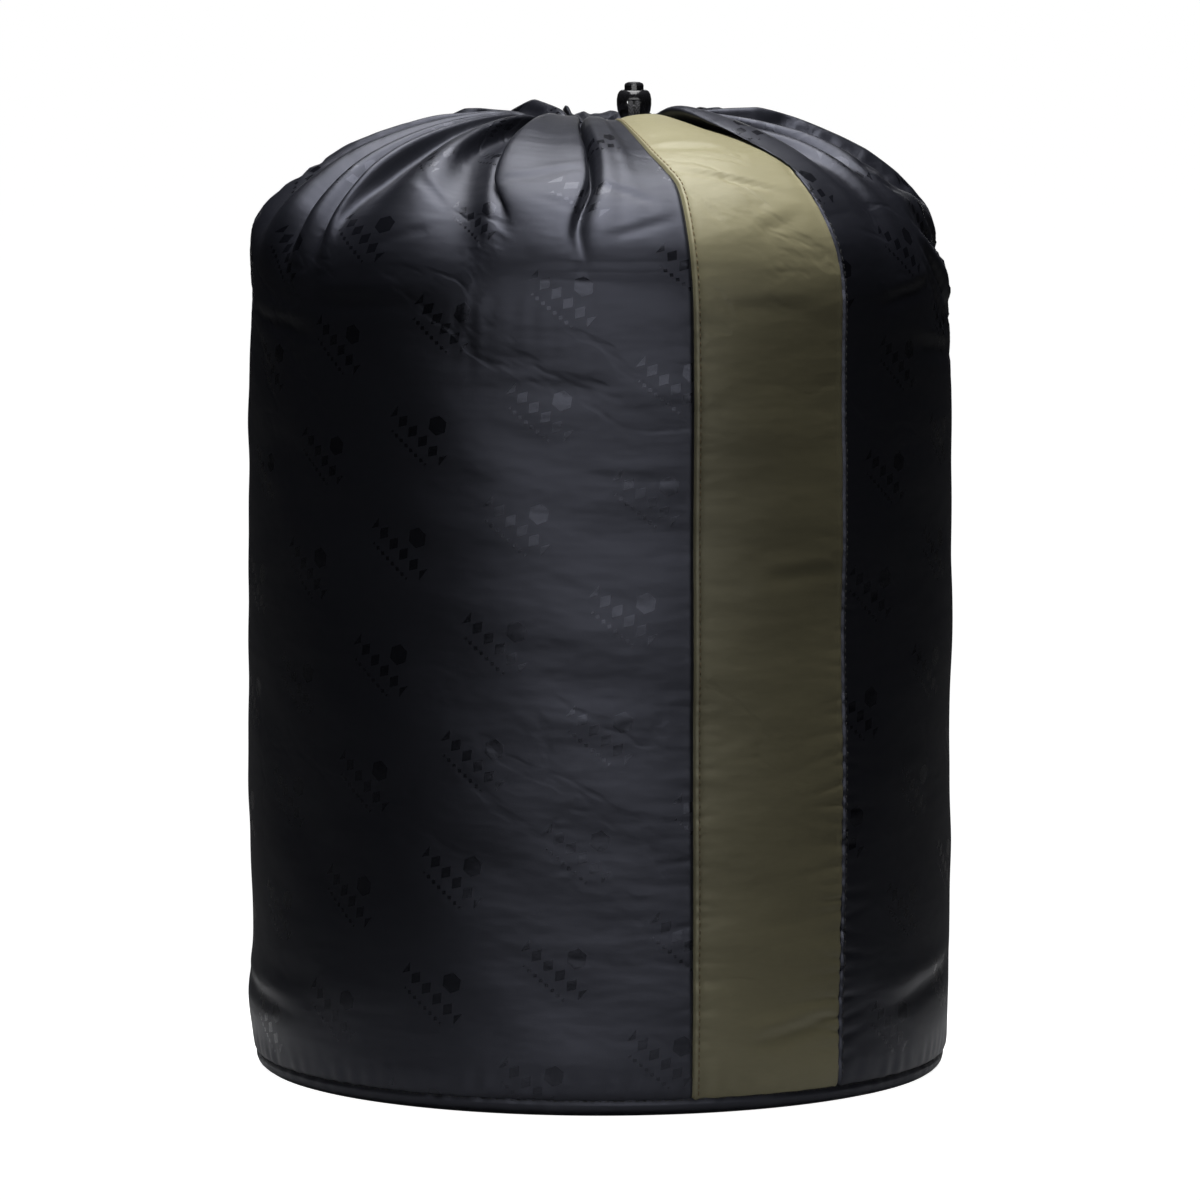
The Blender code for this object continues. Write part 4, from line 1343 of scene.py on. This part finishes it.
side_stitching()
base_seam = (SEAM_RADIUS - 0.0006, SEAM_HEIGHT, STITCH_PITCH)
round_stitching("base_stitching", *base_seam, (1, 0), "base_seam_thread")
hem_seam = (0.0242, dome_height(PANEL_TOP_RADIUS) - 0.0004, 0.0028)
round_stitching("hem_stitching", *hem_seam, (0.5, 1), "hem_seam_thread")
buttonhole()

# The cord lock


def plastic_material():
    """Glossy injection-moulded acetal, with faint flow marks and handling scratches."""
    made, n = new_material("black_plastic_fine")
    place = n.add("NewGeometry").outputs["Position"]
    fine = n.add("TexNoise", Vector=place, Scale=900.0, Detail=2.0).outputs[0]
    long = n.add("Mapping", Vector=place, Scale=(1.0, 1.0, 0.12)).outputs[0]
    scratch = n.add("TexNoise", Vector=long, Scale=3500.0, Detail=3.0).outputs[0]
    worn = n.smooth_step(scratch, 0.60, 0.72)
    n.surface(Base_Color=n.mix(fine, (0.006, 0.006, 0.007), (0.016, 0.016, 0.018)))
    rough = n.times_add(worn, 0.20, n.between(fine, 0.12, 0.24))
    n.surface(Roughness=rough, Normal=n.bump(fine, 0.00006), Coat_Weight=0.25, Coat_Roughness=0.08)
    return made


def steel_material():
    """Drawn spring wire."""
    made, n = new_material("spring_steel_fine")
    streak = n.noise(4000.0, 1.0, 0.05)
    n.surface(Base_Color=n.mix(streak, (0.32, 0.32, 0.34), (0.62, 0.62, 0.64)), Metallic=1.0)
    n.surface(Roughness=n.between(streak, 0.22, 0.4), Normal=n.bump(streak, 0.00001))
    return made


def smooth_moulding(node, surface):
    """Gives a CAD solid its material and smooth shading, with its mesh left alone."""
    obj = frame["nodes"][node]
    for slot in obj.material_slots:
        slot.material = surface
    if not obj.material_slots:
        obj.data.materials.append(surface)
    obj.modifiers.new("weld", "WELD").merge_threshold = 0.00001
    rounded_edges(obj, 0.00025, 38).harden_normals = True


# The lock's sizes, from its middle: the barrel's half section from the bore's floor round to the
# bottom, the slot that the strands pass through, and the coil under the button
BARREL_SECTION = (
    (0.0, -0.0078), (0.0044, -0.0078), (0.0044, 0.0046), (0.0047, 0.0050), (0.0055, 0.0052),
    (0.0063, 0.0047), (0.0070, 0.0034), (0.0074, 0.0014), (0.0074, -0.0012), (0.0070, -0.0038),
    (0.0060, -0.0060), (0.0046, -0.0076), (0.0028, -0.0085), (0.0, -0.0086),
)
BARREL_STEPS = 72
SLOT_SIZE, SLOT_ROUNDING = (0.0060, 0.03, 0.0031), 0.0014
COIL_FLOOR, COIL_LID, COIL_RADIUS, WIRE_RADIUS, COIL_TURNS = -0.0078, -0.0024, 0.003, 0.00022, 3


def rounded_edges(obj, width, degrees):
    """Adds a small bevel to the edges sharper than so many degrees, and returns it."""
    bevel = obj.modifiers.new("bevel", "BEVEL")
    bevel.width, bevel.segments = width, 3
    bevel.limit_method, bevel.angle_limit = "ANGLE", math.radians(degrees)
    return bevel


def turned_solid(name, section):
    """A closed solid of revolution about the lock's middle."""
    build = bmesh.new()
    line = [build.verts.new(LOCK + Vector((radius, 0, height))) for radius, height in section]
    edges = [build.edges.new(pair) for pair in zip(line, line[1:])]
    around = {"cent": LOCK, "axis": (0, 0, 1), "angle": 2 * math.pi}
    bmesh.ops.spin(build, geom=line + edges, steps=BARREL_STEPS, **around)
    bmesh.ops.remove_doubles(build, verts=build.verts, dist=1e-6)
    bmesh.ops.recalc_face_normals(build, faces=build.faces)
    made = bpy.data.meshes.new(name)
    build.to_mesh(made)
    build.free()
    return made


def slot_cutter():
    """A bar with rounded edges, through the lock's middle."""
    build = bmesh.new()
    bmesh.ops.create_cube(build, size=1.0)
    bmesh.ops.scale(build, vec=SLOT_SIZE, verts=build.verts)
    long = [e for e in build.edges if abs(e.verts[0].co.y - e.verts[1].co.y) > 0.01]
    bmesh.ops.bevel(build, geom=long, offset=SLOT_ROUNDING, segments=5, affect="EDGES", profile=0.5)
    data = bpy.data.meshes.new("slot")
    build.to_mesh(data)
    build.free()
    cutter = new_object(data)
    cutter.location = LOCK
    return cutter


def barrel():
    """The lock's round body, with the slot through it for the two strands."""
    obj = new_piece(turned_solid("cord_lock_body", BARREL_SECTION), "cord_lock", PLASTIC)
    cutter = slot_cutter()
    cut = obj.modifiers.new("slot", "BOOLEAN")
    cut.operation, cut.solver, cut.object = "DIFFERENCE", "EXACT", cutter
    rounded_edges(obj, 0.0002, 40)
    bpy.context.view_layer.update()
    graph = bpy.context.evaluated_depsgraph_get()
    obj.data = bpy.data.meshes.new_from_object(obj.evaluated_get(graph))
    obj.modifiers.clear()
    bpy.data.objects.remove(cutter)
    obj.data.shade_smooth()
    obj.data.set_sharp_from_angle(angle=math.radians(35))
    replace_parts(obj, "cord_lock_barrel")


def spring():
    """The coil under the button, with closed end turns."""
    points = []
    bottom, top = COIL_FLOOR + WIRE_RADIUS + CLEAR, COIL_LID - WIRE_RADIUS - CLEAR
    for share in np.linspace(0, 1, 241):
        turn = 2 * math.pi * COIL_TURNS * share
        rise = bottom + (top - bottom) * (share - math.sin(2 * math.pi * share) * 0.06)
        around = Vector((math.cos(turn), math.sin(turn), 0)) * COIL_RADIUS
        points.append(LOCK + around + Vector((0, 0, rise)))
    coil = tube("cord_lock_coil", points, WIRE_RADIUS, "cord_lock", steel_material(), 10, 2)
    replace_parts(coil, "cord_lock_spring")
    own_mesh(coil)


PLASTIC = plastic_material()
barrel()
smooth_moulding("cord_lock_plunger", PLASTIC)
spring()

# The studio


def area_light(name, azimuth, distance, height, size, power, aim=None, only=None):
    """A soft light that faces the sack at the height aim, or straight down without one.

    With only set to "gloss" or "diffuse" it shapes the fabrics' gloss or their own colour.
    """
    data = bpy.data.lights.new(name, "AREA")
    data.shape = "RECTANGLE"
    data.size, data.size_y = size
    data.energy = power
    light = new_object(data)
    light.location = azimuth_vector(azimuth, distance, height)
    if aim is not None:
        sight = Vector((0, 0, aim)) - light.location
        light.rotation_euler = sight.to_track_quat("-Z", "Y").to_euler()
    light.visible_camera = False
    light.visible_diffuse = only != "gloss"
    light.visible_glossy = only != "diffuse"


FLOOR_REACH = 30.0
FLOOR_POOL = (0.18, 0.30)  # the floor throws light back at the sack from within this distance


def floor():
    """A plain floor, seen as white as the background."""
    ends = (-FLOOR_REACH, FLOOR_REACH)
    data = grid_data("floor", np.array([[(x, y, 0.0) for x in ends] for y in ends]))
    ground = new_object(data)
    made, n = new_material("floor_paint")
    seen = n.add("LightPath").outputs["Is Camera Ray"]
    away = n.add("VectorMath", {"operation": "LENGTH"})
    n.set(away.inputs[0], n.add("NewGeometry").outputs["Position"])
    shade = n.smooth_step(away.outputs["Value"], *FLOOR_POOL)
    pale = n.mix(shade, (0.42, 0.42, 0.42), (0.04, 0.04, 0.04))
    n.surface(Base_Color=pale, Roughness=0.9, Emission_Color=(1, 1, 1), Specular_IOR_Level=0.0)
    n.surface(Emission_Strength=seen)
    data.materials.append(made)


def world():
    made = bpy.data.worlds.new("studio")
    bpy.context.scene.world = made
    n = Nodes(made)
    seen = n.add("LightPath").outputs["Is Camera Ray"]
    back = n.tree.nodes["Background"]
    n.set(back.inputs["Color"], (1.0, 1.0, 1.0, 1.0))
    n.set(back.inputs["Strength"], n.between(seen, 0.004, 1.0))


def lights():
    area_light("overhead", 0, 0.05, 2.3, (1.3, 2.8), 72, only="gloss")
    area_light("front", 1, 3.0, 0.6, (3.9, 1.2), 38, aim=0.2, only="gloss")
    area_light("overhead_fill", 180, 0.25, 2.3, (1.6, 1.6), 116, only="diffuse")
    area_light("front_fill", -10, 3.0, 1.0, (1.0, 1.0), 8, aim=0.2, only="diffuse")
    area_light("back", 180, 3.0, 0.7, (1.4, 1.2), 4, aim=0.2)


floor()
world()
lights()
bpy.context.scene.view_settings.view_transform = "Standard"
